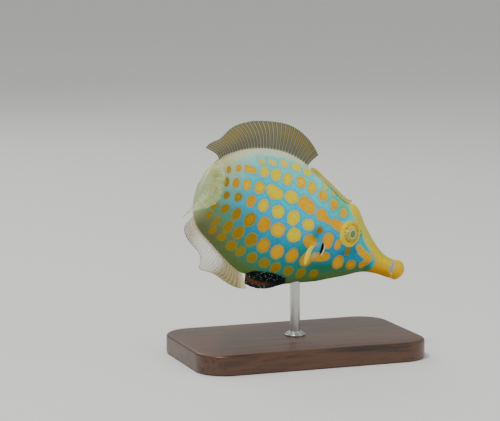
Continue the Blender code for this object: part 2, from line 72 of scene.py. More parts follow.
# Stations of the body: distance from the snout tip, back, belly and half width
STATIONS = np.array((
    (0.0, 2.5, -3.0, 1.8),
    (2.8, 2.8, -3.4, 2.15),
    (5.4, 2.4, -3.5, 2.1),
    (8.9, 2.9, -3.8, 2.15),
    (13.3, 5.25, -5.0, 2.6),
    (18.3, 9.0, -8.2, 3.5),
    (22.0, 12.3, -10.4, 4.4),
    (24.1, 13.1, -11.7, 4.9),
    (26.5, 12.4, -13.1, 5.4),
    (34.0, 15.0, -16.4, 6.4),
    (41.0, 17.2, -18.4, 6.6),
    (45.0, 18.4, -18.8, 6.6),
    (50.4, 18.8, -18.3, 6.2),
    (55.9, 17.9, -16.5, 5.7),
    (62.4, 15.7, -13.9, 4.8),
    (70.0, 12.0, -11.3, 3.5),
    (77.0, 8.1, -8.2, 2.4),
    (80.5, 5.6, -6.3, 1.9),
    (84.0, 4.6, -5.4, 1.6),
))

# Eye
EYE_U = 23.5
EYE_V = 4.3
EYE_RADIUS = 3.15
EYE_DEPTH = 2.2
EYE_PROUD = 0.95
EYE_FORWARD = math.radians(20.0)
EYE_UP = math.radians(5.0)
DOME_POWER, DOME_EDGE = 2.4, 2.2

# Median fins: ends of the root, rays, longest ray, lean of the first and last ray and how it grows from
# one to the other, shares of the full height, and the wave that swings the rays sideways, which dies
# down to the rear by calm
DORSAL = dict(
    start=42.7, end=75.6, rays=33, height=8.3, front_lean=-20, rear_lean=73, lean_power=0.86,
    front_share=0.55, full_at=0.32, rear_loss=0.48, dip=0.19, swing=26.4, waves=0.43, phase=-0.09,
    calm=-0.72,
)
ANAL = dict(
    start=49.0, end=77.6, rays=31, height=7.6, front_lean=-40, rear_lean=65, lean_power=0.75,
    front_share=0.62, full_at=0.3, rear_loss=0.3, dip=0.0, swing=46, waves=1.2, phase=-0.02, calm=0.9,
)

# Where along a median fin its edge dips, how wide the dip is, and what both fins share
DIP_AT, DIP_WIDTH = 0.81, 0.12
MEDIAN_ROWS, MEDIAN_SUNK = 26, 1.3
FIN_STANDOFF = 0.4

# Caudal fin: its rays spread, are set back from the stem's line and then curl, less in the upper lobe
CAUDAL_RAYS = 12
CAUDAL_SPREAD = math.radians(26.0)
CAUDAL_SET = math.radians(-18.0)
CAUDAL_CURL = math.radians(70.0)
CAUDAL_CURL_FULL = 0.9
CAUDAL_CURL_LOSS, CAUDAL_LOSS_FROM, CAUDAL_LOSS_OVER = 0.35, 0.2, 0.8
CAUDAL_ROUND = 0.12
CAUDAL_GAP = 0.3
CAUDAL_RAY_SHARE = 1.15
CAUDAL_INSET = 0.5
CAUDAL_ROWS, CAUDAL_STEPS, CAUDAL_SUNK = 40, 16, 3.4

# Pectoral fins: directions are tailward, outward and upward
PECTORAL_RAYS = 11
PECTORAL_U = 33.9
PECTORAL_V = -4.2
PECTORAL_BASE = 2.0
PECTORAL_LENGTH = 6.2
PECTORAL_SPREAD = math.radians(38.0)
PECTORAL_WAY = (0.42, 0.60, -0.68)
PECTORAL_ACROSS = (0.62, 0.55, 0.30)
PECTORAL_ROUND = 0.56
PECTORAL_BOW = 0.5
PECTORAL_STANDOFF = 0.72
PECTORAL_ROWS, PECTORAL_SUNK = 24, 1.4

# First dorsal spine
SPINE_START, SPINE_END = 24.9, 40.6
SPINE_ROOT_RADIUS, SPINE_TIP_RADIUS = 0.75, 0.62
SPINE_STANDOFF = 0.02
WEB_U, WEB_LENGTH, WEB_HEIGHT, WEB_HALF_WIDTH, WEB_RISE = 38.2, 6.4, 2.2, 0.55, 0.55

# Pelvic flap
FLAP_START, FLAP_END, FLAP_DEPTH = 32.6, 47.8, 2.8
FLAP_STAYS = 7
FLAP_COLUMNS, FLAP_ROWS = 140, 26
FLAP_RAKE = 0.12
FLAP_SUNK = 0.3
FLAP_ROOT_HALF, FLAP_EDGE_HALF = 0.85, 0.16

# Stand, with the inset and the rise of each turn of the rod's collar
PLINTH_LENGTH, PLINTH_WIDTH, PLINTH_HEIGHT = 72.0, 44.0, 6.0
PLINTH_CORNER = 9.0
CORNER_SEGMENTS, EDGE_SEGMENTS = 14, 5
ROD_RADIUS = 1.5
ROD_SIDES = 48
ROD_U = 31.9
ROD_SINK = 5.7
COLLAR_RADIUS, COLLAR_HEIGHT, COLLAR_EDGE = 3.1, 0.5, 0.12
COLLAR_TURNS = ((0.45, 0.45), (0.7, 0.35))
BELLY_CLEARANCE = 15.0

# Rows of spots from back to belly: first spot, spacing, how much the spacing shrinks from spot to spot,
# number, half length, half height, and height as a share of the half height at each of ROW_STOPS
ROW_STOPS = (28.0, 40.0, 50.0, 60.0, 72.0)
SPOT_ROWS = (
    (42.9, 4.2, 0.03, 5, 1.5, 1.1, (0.95, 0.93, 0.845, 0.815, 0.85)),
    (27.5, 4.25, 0.0, 8, 1.6, 1.7, (0.77, 0.755, 0.63, 0.63, 0.676)),
    (46.0, 6.05, 0.2, 6, 2.0, 1.9, (0.46, 0.447, 0.37, 0.33, 0.333)),
    (37.75, 5.5, 0.05, 7, 1.9, 1.95, (0.16, 0.168, 0.09, 0.054, 0.03)),
    (35.4, 5.3, 0.0, 8, 2.15, 2.2, (-0.12, -0.1, -0.18, -0.264, -0.31)),
    (34.0, 4.75, 0.0, 9, 1.85, 2.15, (-0.46, -0.455, -0.485, -0.56, -0.655)),
    (28.9, 4.15, 0.0, 10, 1.5, 1.5, (-0.755, -0.715, -0.735, -0.8, -0.88)),
)

# Single and double spots and streaks: two ends and a radius, in u and v, and how dull they are, partly as
# painted shade
SINGLE_SPOTS = (
    (34.4, 6.1, 35.0, 6.2, 1.65, 0.28),
    (31.8, 5.3, 34.4, 6.0, 0.95, 0.32),
    (26.5, 4.9, 29.3, 5.4, 1.45, 0.3),
    (39.2, 6.8, 41.6, 7.5, 1.9, 0.22),
    (50.4, 6.8, 53.2, 7.2, 1.6, 0.0),
    (61.2, 10.4, 64.0, 10.1, 0.95, 0.1),
    (67.0, 9.3, 67.3, 9.1, 1.0, 0.3),
    (71.2, 7.7, 71.4, 7.5, 0.9, 0.6),
    (29.9, 0.4, 29.7, -1.0, 1.75, 0.3),
    (26.0, 0.35, 26.0, -0.55, 1.05, 0.32),
    (28.2, -4.8, 31.6, -6.2, 1.3, 0.5),
    (23.3, -4.6, 23.2, -5.3, 1.75, 0.42),
    (18.3, -4.0, 18.8, -4.2, 1.4, 0.65),
    (21.9, -0.1, 21.8, -1.4, 0.75, 0.95),
    (33.8, 1.8, 33.8, 1.6, 1.05, 0.95),
    (35.2, 14.6, 35.8, 14.8, 0.6, 0.2),
    (31.9, 13.6, 32.2, 13.7, 0.5, 0.3),
    (77.4, 4.6, 78.4, 4.4, 1.25, 0.85),
    (79.8, 0.3, 80.3, 0.2, 0.95, 0.9),
    (75.0, 0.7, 75.4, 0.5, 1.05, 0.85),
    (77.7, -3.4, 78.3, -3.6, 1.0, 0.85),
)
SNOUT_WEDGE = (
    (18.6, 1.6, 16.8, 0.7, 0.86),
    (17.2, 0.7, 13.6, -0.3, 1.08),
    (13.5, -0.9, 15.0, -3.1, 0.88),
)

# Gill slit and nostrils
GILL_TOP = (31.0, -1.35)
GILL_FOOT = (30.4, -4.8)
GILL_DEPTH = 0.8
GILL_BOW, GILL_HALF_WIDTH = 0.25, 0.36
RIM_OFFSET, RIM_WIDTH, RIM_HEIGHT = 0.5, 0.24, 0.2
NOSTRILS = ((19.1, 5.4, 0.36), (19.9, 6.2, 0.3))
MOUTH_V = 0.6
MOUTH_SLOPE = math.tan(math.radians(14.0))

# Blue of the head: the point where it starts, and how its upper and lower edges open and bend
HEAD_BLUE_U, HEAD_BLUE_V = 10.9, -1.25
UPPER_OPENS, UPPER_BENDS = 1.6, 0.029
LOWER_OPENS, LOWER_BENDS = 2.6, 0.3

# Camera: the photograph's view, with its focal length in pixels of the frame's width
VIEW_AZIMUTH = math.radians(-20.0)
VIEW_ELEVATION = math.radians(8.0)
VIEW_DISTANCE = 0.6
VIEW_TARGET = (-0.0127, 0.00462, 0.04385)
FOCAL_PIXELS = 2010.0
FRAME_PIXELS = 500.0
SENSOR_MM = 36.0


def srgb(red, green, blue):
    """Linear colour from the 0 to 255 values that a screen shows."""
    def channel(value):
        share = value / 255.0
        return share / 12.92 if share <= 0.04045 else ((share + 0.055) / 1.055) ** 2.4

    return channel(red), channel(green), channel(blue)


def smoothstep(t):
    t = np.clip(t, 0.0, 1.0)
    return t * t * (3.0 - 2.0 * t)


def hump(x, width):
    """Smooth hill of height 1 at x = 0."""
    return np.exp(-((x / width) ** 2))


def station_value(u, column):
    """A size of the body at u, on a smooth curve through the stations."""
    u = np.clip(np.asarray(u, float), 0.0, STANDARD_LENGTH)
    places, values = STATIONS[:, 0], STATIONS[:, column]
    last = len(places) - 1
    i = np.clip(np.searchsorted(places, u, side="right") - 1, 0, last - 1)

    def slope(k):
        low, high = np.maximum(k - 1, 0), np.minimum(k + 1, last)
        return (values[high] - values[low]) / (places[high] - places[low])

    span = places[i + 1] - places[i]
    t = (u - places[i]) / span
    return (
        (1 + 2 * t) * (1 - t) ** 2 * values[i]
        + t * (1 - t) ** 2 * span * slope(i)
        + t * t * (3 - 2 * t) * values[i + 1]
        + t * t * (t - 1) * span * slope(i + 1)
    )


def back(u):
    return station_value(u, 1)


def belly(u):
    return station_value(u, 2)


def half_width(u):
    return station_value(u, 3)


def middle(u):
    return (back(u) + belly(u)) / 2


def half_height(u):
    return (back(u) - belly(u)) / 2


def section_power(u):
    return SNOUT_POWER + (SECTION_POWER - SNOUT_POWER) * smoothstep((u - SNOUT_END) / SNOUT_END)


def flank(u, v):
    """Half width of the body at height v."""
    power = section_power(u)
    share = np.minimum(1.0, np.abs(v - middle(u)) / half_height(u))
    return half_width(u) * (1 - share**power) ** (1 / power)


def bend(u):
    t = (np.asarray(u, float) - BEND_START) / (STANDARD_LENGTH - BEND_START)
    return BEND_ANGLE * np.clip(t, 0.0, 1.0) ** BEND_POWER


def bent_axis():
    """Places of the bent axis in plan, at even steps from where the bend starts."""
    u = np.arange(BEND_START, STANDARD_LENGTH + 8.0, BEND_STEP)
    angle = bend(u + BEND_STEP / 2)
    x = np.concatenate(([0.0], np.cumsum(-np.cos(angle) * BEND_STEP)))[:-1]
    y = np.concatenate(([0.0], np.cumsum(-np.sin(angle) * BEND_STEP)))[:-1]
    return u, x, y


AXIS = bent_axis()


def pitched(x, z):
    return (
        x * math.cos(PITCH) + z * math.sin(PITCH),
        -x * math.sin(PITCH) + z * math.cos(PITCH),
    )


ROD_X = float(pitched(BEND_START - ROD_U, belly(ROD_U))[0])
LOWEST = min(float(pitched(BEND_START - u, belly(u))[1]) for u in range(2, 48))
AXIS_HEIGHT = PLINTH_HEIGHT + BELLY_CLEARANCE - LOWEST


def place(u, w, v):
    """Points of the straight fish, in their places in the frame, as rows of x, y and z in metres."""
    u, w, v = np.broadcast_arrays(*(np.asarray(part, float) for part in (u, w, v)))
    straight = BEND_START - np.minimum(u, BEND_START)
    x = np.where(u < BEND_START, straight, np.interp(u, AXIS[0], AXIS[1]))
    y = np.where(u < BEND_START, 0.0, np.interp(u, AXIS[0], AXIS[2]))
    angle = bend(u)
    x, y = x - w * np.sin(angle), y + w * np.cos(angle)
    x, z = pitched(x, v)
    return np.stack(((x - ROD_X) * MM, y * MM, (z + AXIS_HEIGHT) * MM), axis=-1)


def fish_axes(u):
    """Tailward, leftward and upward directions of the bent fish at u."""
    angle = float(bend(u))
    tail_x, tail_z = pitched(-math.cos(angle), 0.0)
    left_x, left_z = pitched(-math.sin(angle), 0.0)
    up_x, up_z = pitched(0.0, 1.0)
    return (
        Vector((tail_x, -math.sin(angle), tail_z)),
        Vector((left_x, math.cos(angle), left_z)),
        Vector((up_x, 0.0, up_z)),
    )


def eye_matrix(side):
    """Turns +Z of a shape into the eye's outward axis and sets it at the eye's centre."""
    tail, left, up = fish_axes(EYE_U)
    out = (left * side * math.cos(EYE_FORWARD) - tail * math.sin(EYE_FORWARD)) * math.cos(EYE_UP)
    out = out + up * math.sin(EYE_UP)
    surface = float(flank(EYE_U, EYE_V))
    centre = Vector(place(EYE_U, side * (surface + EYE_PROUD - EYE_DEPTH), EYE_V))
    return Matrix.Translation(centre) @ out.to_track_quat("Z", "Y").to_matrix().to_4x4()


def to_eye(points, side):
    """Places in an eye's own axes, in millimetres."""
    inverse = np.array(eye_matrix(side).inverted())
    return (points @ inverse[:3, :3].T + inverse[:3, 3]) / MM


def from_eye(local, side):
    """Places in the frame of places in an eye's own axes."""
    matrix = np.array(eye_matrix(side))
    return (local * MM) @ matrix[:3, :3].T + matrix[:3, 3]


def eye_dome(share):
    """Height of the eyeball, as a share of its depth, at a share of its radius."""
    return np.clip(1 - share**DOME_POWER, 0, 1) ** (1 / DOME_EDGE)


# Meshes


def deselect():
    if bpy.context.mode != "OBJECT":
        bpy.ops.object.mode_set(mode="OBJECT")
    bpy.ops.object.select_all(action="DESELECT")


def pick(parts, mode="OBJECT"):
    """Selects these objects alone, makes the first of them active and enters a mode."""
    deselect()
    for part in parts:
        part.select_set(True)
    bpy.context.view_layer.objects.active = parts[0]
    bpy.ops.object.mode_set(mode=mode)


def read_points(obj, what="co"):
    """Places of the vertices, or their normals."""
    points = np.empty(len(obj.data.vertices) * 3)
    obj.data.vertices.foreach_get(what, points)
    return points.reshape(-1, 3)


def write_points(obj, points):
    obj.data.vertices.foreach_set("co", np.ascontiguousarray(points, float).ravel())
    obj.data.update()


def store(obj, **fields):
    """Stores a number or a place for each vertex, for the material to read."""
    for name, field in fields.items():
        field = np.ascontiguousarray(field, np.float32)
        kind, part = ("FLOAT", "value") if field.ndim == 1 else ("FLOAT_VECTOR", "vector")
        obj.data.attributes.new(name, kind, "POINT").data.foreach_set(part, field.ravel())


def face_outwards(obj):
    pick([obj], "EDIT")
    bpy.ops.mesh.select_all(action="SELECT")
    bpy.ops.mesh.normals_make_consistent(inside=False)
    bpy.ops.object.mode_set(mode="OBJECT")
    bpy.ops.object.shade_smooth()


def apply_modifier(obj, modifier):
    bpy.context.view_layer.objects.active = obj
    bpy.ops.object.modifier_apply(modifier=modifier.name)


def soften(obj, angle, width, segments):
    """Rounds the edges that turn by more than an angle."""
    soft = obj.modifiers.new("edges", "BEVEL")
    soft.limit_method = "ANGLE"
    soft.angle_limit = math.radians(angle)
    soft.width = width
    soft.segments = segments
    apply_modifier(obj, soft)


def settle(obj, finish, slot, *nodes):
    """Gives a finished piece its material, ties it to the root and hides the solids it stands for."""
    obj.data.materials.clear()
    obj.data.materials.append(finish)
    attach(obj, "root")
    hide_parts(*nodes)


def named(name):
    """The object that an operator has just made, with its name."""
    obj = bpy.context.object
    obj.name = name
    obj.data.name = name
    return obj


def ball_piece(name, segments, rings):
    """A ball of radius 1 to be shaped, and its points."""
    deselect()
    bpy.ops.mesh.primitive_uv_sphere_add(segments=segments, ring_count=rings, radius=1.0)
    piece = named(name)
    return piece, read_points(piece)


def grid_piece(name, columns, rows):
    """A flat grid to be shaped, and how far each vertex lies across it and up it, from 0 to 1."""
    deselect()
    bpy.ops.mesh.primitive_grid_add(x_subdivisions=columns, y_subdivisions=rows, size=2.0)
    piece = named(name)
    shares = np.clip((read_points(piece) + 1) / 2, 0, 1)
    return piece, shares[:, 0], shares[:, 1]


# Materials


class Wire:
    """An output of a material's nodes. Arithmetic on wires adds Math nodes."""

    def __init__(self, tree, socket):
        self.tree = tree
        self.socket = socket

    def math(self, operation, *values):
        return add_node(self.tree, "ShaderNodeMath", {"operation": operation}, dict(enumerate(values)))

    def __add__(self, other):
        return self.math("ADD", self, other)

    def __sub__(self, other):
        return self.math("SUBTRACT", self, other)

    def __rsub__(self, other):
        return self.math("SUBTRACT", other, self)

    def __mul__(self, other):
        return self.math("MULTIPLY", self, other)

    def __pow__(self, other):
        return self.math("POWER", self, other)

    def __abs__(self):
        return self.math("ABSOLUTE", self)

    __radd__ = __add__
    __rmul__ = __mul__

    def sine(self):
        return self.math("SINE", self)

    def clamp(self):
        return self.math("MINIMUM", self, 1.0).math("MAXIMUM", self, 0.0)


def connect(tree, socket, value):
    if isinstance(value, Wire):
        tree.links.new(value.socket, socket)
    elif hasattr(value, "__len__"):
        value = tuple(value)
        size = len(socket.default_value)
        socket.default_value = value if len(value) == size else (*value, 1.0)
    else:
        socket.default_value = value


def set_stops(ramp, stops):
    """Colours at values from 0 to 1, smoothly joined."""
    ramp.interpolation = "EASE"
    while len(ramp.elements) < len(stops):
        ramp.elements.new(0.5)
    for element, (position, shade) in zip(ramp.elements, stops):
        element.position = position
        element.color = (*shade, 1.0)


def add_node(tree, kind, settings, sockets, output=0):
    """A node of any type: its settings or stops first, then the values or wires of its sockets."""
    node = tree.nodes.new(kind)
    for name, value in settings.items():
        if name == "stops":
            set_stops(node.color_ramp, value)
        else:
            setattr(node, name, value)
    for name, value in sockets.items():
        connect(tree, node.inputs[name], value)
    return Wire(tree, node.outputs[output])


class Paint:
    """A material being mixed: its nodes, and the sockets of its shader."""

    def __init__(self, name, **constants):
        self.material = bpy.data.materials.new(name)
        self.material.use_nodes = True
        self.tree = self.material.node_tree
        self.shader = self.tree.nodes["Principled BSDF"]
        for socket, value in constants.items():
            self.set(socket.replace("_", " "), value)

    def set(self, socket, value):
        connect(self.tree, self.shader.inputs[socket], value)

    def node(self, kind, settings, sockets, output=0):
        return add_node(self.tree, kind, settings, sockets, output)

    def number(self, name, output="Fac"):
        return self.node("ShaderNodeAttribute", {"attribute_name": name}, {}, output)

    def vector(self, name):
        return self.number(name, "Vector")

    def place(self):
        return self.node("ShaderNodeTexCoord", {}, {}, "Object")

    def mix(self, factor, first, second, how="MIX"):
        """The first colour where the factor is 0, the second mixed in as far as the factor says."""
        settings = {"data_type": "RGBA", "blend_type": how}
        return self.node("ShaderNodeMix", settings, {0: factor, 6: first, 7: second}, 2)

    def layers(self, base, *layers):
        """Colours laid over a base in turn: how far, which colour and, if it isn't plain, how."""
        for factor, top, *how in layers:
            base = self.mix(factor, base, top, *how)
        return base

    def step(self, value, low, high):
        """0 where the value is under low, 1 where it is over high, and smooth between."""
        settings = {"interpolation_type": "SMOOTHSTEP"}
        return self.node("ShaderNodeMapRange", settings, {0: value, 1: low, 2: high})

    def ramp(self, value, *stops):
        return self.node("ShaderNodeValToRGB", {"stops": stops}, {0: value})

    def noise(self, scale, detail=2.0, roughness=0.5, vector=None, distortion=0.0):
        sockets = {"Vector": vector or self.place(), "Scale": scale, "Detail": detail}
        sockets.update(Roughness=roughness, Distortion=distortion)
        return self.node("ShaderNodeTexNoise", {}, sockets)

    def cells(self, scale, feature="F1", randomness=1.0, vector=None):
        sockets = {"Vector": vector or self.place(), "Scale": scale, "Randomness": randomness}
        return self.node("ShaderNodeTexVoronoi", {"feature": feature}, sockets, "Distance")

    def stretch(self, scale, turn=(0.0, 0.0, 0.0), vector=None):
        """Coordinates turned, then scaled along each axis."""
        sockets = {"Vector": vector or self.place(), "Rotation": turn, "Scale": scale}
        return self.node("ShaderNodeMapping", {}, sockets)

    def bump(self, height, depth, strength=1.0):
        sockets = {"Height": height, "Distance": depth, "Strength": strength}
        self.set("Normal", self.node("ShaderNodeBump", {}, sockets))


# Settings that a user would change


def length_setting(name, description, default, least, most):
    """A length that a user may change, given here in millimetres."""
    return FloatProperty(
        name=name, description=description, unit="LENGTH",
        default=default * MM, min=least * MM, max=most * MM,
    )


def power_setting(name, description, default):
    return FloatProperty(name=name, description=description, default=default, min=0.0, unit="POWER")


class FilefishSizes(bpy.types.PropertyGroup):
    """Sizes of the details that the model adds to its solids, and the lights."""

    lid_height: length_setting("Lid height", "Height of the ring of skin round the eye", 0.3, 0.0, 2.0)
    lid_radius: length_setting("Lid radius", "Radius of the crest of that ring", 3.0, 2.5, 4.5)
    scale_size: length_setting("Scale size", "Width of the fine prickly scales", 0.42, 0.1, 2.0)
    scale_depth: length_setting("Scale depth", "Depth of the relief of the scales", 0.05, 0.0, 0.5)
    ray_thickness: length_setting("Rays", "Thickness of a ray of a median fin at its root", 0.36, 0.1, 1.5)
    small_ray_thickness: length_setting(
        "Pectoral rays", "Thickness of a ray of a pectoral fin at its root", 0.2, 0.1, 1.0,
    )
    membrane_thickness: length_setting("Membrane", "Thickness of a fin between its rays", 0.1, 0.05, 0.5)
    barb_pairs: IntProperty(
        name="Pairs of barbs", description="Pairs of barbs along the first dorsal spine",
        default=13, min=0, max=40,
    )
    barb_length: length_setting("Barb length", "Length of a barb of the first dorsal spine", 0.7, 0.1, 2.0)
    plinth_edge: length_setting("Plinth edge", "Radius of the plinth's rounded edges", 0.9, 0.1, 3.0)
    key_power: power_setting("Key light", "Power of the main light", 4.0)
    fill_power: power_setting("Fill light", "Power of the light opposite the main light", 0.7)


def colour(name, description, red, green, blue):
    """A colour setting whose default is what a screen shows."""
    return FloatVectorProperty(
        name=name, description=description, subtype="COLOR", size=3, min=0.0, max=1.0,
        default=srgb(red, green, blue),
    )


class FilefishColours(bpy.types.PropertyGroup):
    """Colours of the fish and its stand."""

    # The ground colours hold painted light as well as the skin's own colour: painted highlight in the pale
    # ones of the back and upper flank, painted shade in the deep ones of the lower flank and belly.
    back_pale: colour("Back", "Ground colour along the back", 130, 246, 244)
    flank_pale: colour("Upper flank", "Ground colour high on the flank", 30, 226, 244)
    flank_blue: colour("Flank", "Ground colour in the middle of the flank", 24, 206, 240)
    flank_deep: colour("Lower flank", "Ground colour low on the flank", 0, 158, 196)
    belly_green: colour("Belly", "Ground colour of the belly", 100, 134, 70)
    head_blue: colour("Head", "Ground colour round the eye", 0, 178, 222)
    rear_olive: colour("Tail stem", "Ground colour of the tail stem", 204, 218, 164)
    # The turn of the spots from yellow to orange and brown, lower down and to the rear, is partly painted
    # shade.
    spot_yellow: colour("Spots", "Spots in the middle of the flank", 255, 234, 0)
    spot_orange: colour("Orange spots", "Spots low on the flank", 236, 170, 0)
    spot_brown: colour("Low spots", "Spots near the belly and tail", 178, 138, 4)
    snout_yellow: colour("Snout", "Forehead and snout", 246, 214, 20)
    # The orange of the snout's underside is partly painted shade.
    snout_orange: colour("Snout underside", "Lower side of the snout", 224, 162, 6)
    # The lavender of the snout band is a painted highlight on the pale band.
    lavender: colour("Snout band", "Pale band behind the lips", 150, 166, 240)
    # Painted shade inside the gill slit.
    slit_black: colour("Gill slit", "Inside of the gill slit and nostrils", 8, 12, 14)
    membrane_grey: colour("Fin membrane", "Membrane between the rays", 112, 102, 62)
    ray_pale: colour("Fin rays", "Rays of the fins", 156, 162, 142)
    ray_gold: colour("Fin ray streaks", "Yellow streaks on the membrane", 172, 144, 28)
    pectoral_yellow: colour("Pectoral fin", "Rays of the pectoral fins", 255, 240, 16)
    flap_black: colour("Pelvic flap", "Pelvic flap and the patch in front of it", 10, 22, 24)
    flap_dot: colour("Flap dots", "Dots on the pelvic flap", 140, 200, 170)
    iris_gold: colour("Iris", "Gold of the iris", 250, 204, 10)
    iris_bronze: colour("Iris shade", "Dark parts of the iris", 140, 104, 8)
    pupil_green: colour("Pupil", "Pupil of the eye", 74, 102, 62)
    lid_yellow: colour("Eye ring", "Ring of skin round the eye", 255, 228, 0)
    spine_tan: colour("Dorsal spine", "First dorsal spine", 226, 212, 124)
    wood_dark: colour("Plinth", "Dark grain of the plinth", 42, 25, 15)
    wood_light: colour("Plinth grain", "Light grain of the plinth", 92, 56, 32)
    steel: colour("Rod", "Metal of the rod", 200, 200, 198)
    floor_pale: colour("Floor", "Floor and surroundings", 246, 246, 243)


def sizes():
    return bpy.context.scene.filefish_sizes


def colours():
    return bpy.context.scene.filefish_colours


# Skin: one closed surface over the whole body

SKIN_SEGMENTS = 220
SECTION_SAMPLES = 1441
NO_SPOT = -9.0
NOSE_RINGS = 24
TAIL_RINGS = 5
TAIL_ROUND = 0.8
RING_STEPS = ((NOSE_ROUND, 17.5, 0.26), (17.5, 33.0, 0.17), (33.0, STANDARD_LENGTH - TAIL_ROUND, 0.38))
EYE_CROWDING = 1.3
EYE_CROWDING_AT = math.radians(69.0)
EYE_CROWDING_WIDTH = math.radians(16.0)
STEM_TAPER = 0.62
STEM_TAPER_LENGTH = 4.0
FIN_BASE_RISE = 0.42
FIN_BASE_WIDTH = 0.75
FIN_BASE_REACH = 1.5
SECTION_EASE = 0.3
LID_INNER = 2.25
LID_OUTER = 4.9
LID_WIDTH = 0.95
LID_FOLLOWS = 0.25
SOCKET_GAP = 0.75
EYE_REACH, EYE_BEHIND = 6.0, -2.5
PLACE_JITTER, SIZE_JITTER = 0.15, 0.06


def ring_stops():
    """Distances of the rings from the snout tip, closer round the eye and the ends."""
    nose = NOSE_ROUND * (1 - np.cos(np.linspace(0, math.pi / 2, NOSE_RINGS + 1)))
    stops = [nose[:-1]]
    for first, last, step in RING_STEPS:
        stops.append(np.linspace(first, last, round((last - first) / step), endpoint=False))
    end = np.sin(np.linspace(0, math.pi / 2, TAIL_RINGS + 1))
    stops.append(STANDARD_LENGTH - TAIL_ROUND + TAIL_ROUND * end)
    return np.concatenate(stops)


def section_angles(turn):
    """Angles round a section, closer together at the height of the eyes."""
    fine = np.linspace(0, 2 * math.pi, SECTION_SAMPLES)
    from_top = np.minimum(fine, 2 * math.pi - fine)
    density = 1 + EYE_CROWDING * hump(from_top - EYE_CROWDING_AT, EYE_CROWDING_WIDTH)
    reached = np.concatenate(([0.0], np.cumsum((density[1:] + density[:-1]) / 2)))
    return np.interp(turn, reached / reached[-1] * 2 * math.pi, fine)


def section_width(share, power):
    """Half width at a share of the half height, as a share of the greatest one, smooth at mid height."""
    def rise(x):
        return (x * x + SECTION_EASE**2) ** (power / 2) - SECTION_EASE**power

    return np.clip(1 - rise(share) / rise(1.0), 0, 1) ** (1 / power)


def section_point(u, angle):
    """Sideways and upward places of a point of the skin."""
    nose = np.sqrt(np.clip(1 - (np.maximum(NOSE_ROUND - u, 0) / NOSE_ROUND) ** 2, 0, 1))
    end = (u - STANDARD_LENGTH + TAIL_ROUND) / TAIL_ROUND
    tail = np.sqrt(np.clip(1 - np.clip(end, 0, 1) ** 2, 0, 1))
    power = section_power(u)
    s, c = np.sin(angle), np.cos(angle)
    share = np.abs(c) ** (2 / power)
    stem = 1 - STEM_TAPER * smoothstep((u - STANDARD_LENGTH + STEM_TAPER_LENGTH) / STEM_TAPER_LENGTH)
    w = half_width(u) * stem * nose * tail * np.sign(s) * section_width(share, power)
    v = middle(u) + half_height(u) * nose * tail * np.sign(c) * share
    return w, v


def fin_base(u, w, v):
    """Height of the fleshy ridge that the rays of a median fin stand in."""
    rise = np.zeros_like(u)
    for fin, edge, sign in ((DORSAL, back, 1), (ANAL, belly, -1)):
        along = smoothstep((u - fin["start"] + FIN_BASE_REACH) / 2.5)
        along = along * smoothstep((fin["end"] - u + FIN_BASE_REACH) / 3.0)
        near = hump(w, FIN_BASE_WIDTH) * (sign * (v - middle(u)) > 0)
        rise += sign * FIN_BASE_RISE * along * near
    return rise


def capsule(u, v, streak):
    """Distance inside a rounded streak, negative outside it."""
    u0, v0, u1, v1, radius = streak
    du, dv = u1 - u0, v1 - v0
    length = max(du * du + dv * dv, 1e-6)
    along = np.clip(((u - u0) * du + (v - v0) * dv) / length, 0, 1)
    return radius - np.hypot(u - u0 - along * du, v - v0 - along * dv)


def dullness_and_shade(u, share):
    """How far a spot of the rows has turned from yellow to brown: more to the rear and lower down, partly
    as the spots' own colour and partly as painted shade.
    """
    rearward = smoothstep((u - 50.0 - 28.0 * np.maximum(share, 0.0)) / 13.0)
    low = smoothstep((u - 42.0) / 13.0) * smoothstep((0.05 - share) / 0.4)
    lowest = 0.6 * smoothstep((-0.5 - share) / 0.2)
    orange = 0.25 * smoothstep((0.0 - share) / 0.4) + 0.22 * smoothstep((41.0 - u) / 6.0)
    return np.clip(0.85 * np.maximum(rearward, low) + lowest + orange, 0, 1)


def spot_field(u, v, side):
    """Distance inside the nearest spot and how dull that spot is, partly as painted shade."""
    chance = np.random.default_rng(7 if side < 0 else 11)
    best = np.full_like(u, NO_SPOT)
    dull = np.zeros_like(u)

    def add(distance, value):
        closer = distance > best
        best[closer] = distance[closer]
        dull[closer] = value

    for first, spacing, shrink, count, long, high, shares in SPOT_ROWS:
        for k in range(count):
            jitter = chance.normal(0, 1, 5)
            at_u = first + spacing * k - shrink * k * k + PLACE_JITTER * jitter[0]
            share = np.interp(at_u, ROW_STOPS, shares)
            at_v = middle(at_u) + share * half_height(at_u) + PLACE_JITTER * jitter[1]
            size = 1 - 0.3 * smoothstep((at_u - 55) / 14) - 0.16 * smoothstep((33 - at_u) / 5)
            half_long = long * size * (1 + SIZE_JITTER * jitter[2])
            half_high = high * size * (1 + SIZE_JITTER * jitter[3])
            reach = np.hypot((u - at_u) / half_long, (v - at_v) / half_high)
            value = dullness_and_shade(at_u, share) + SIZE_JITTER * jitter[4]
            add((1 - reach) * min(half_long, half_high), value)
    for *streak, value in SINGLE_SPOTS:
        add(capsule(u, v, streak), value)
    return best, dull


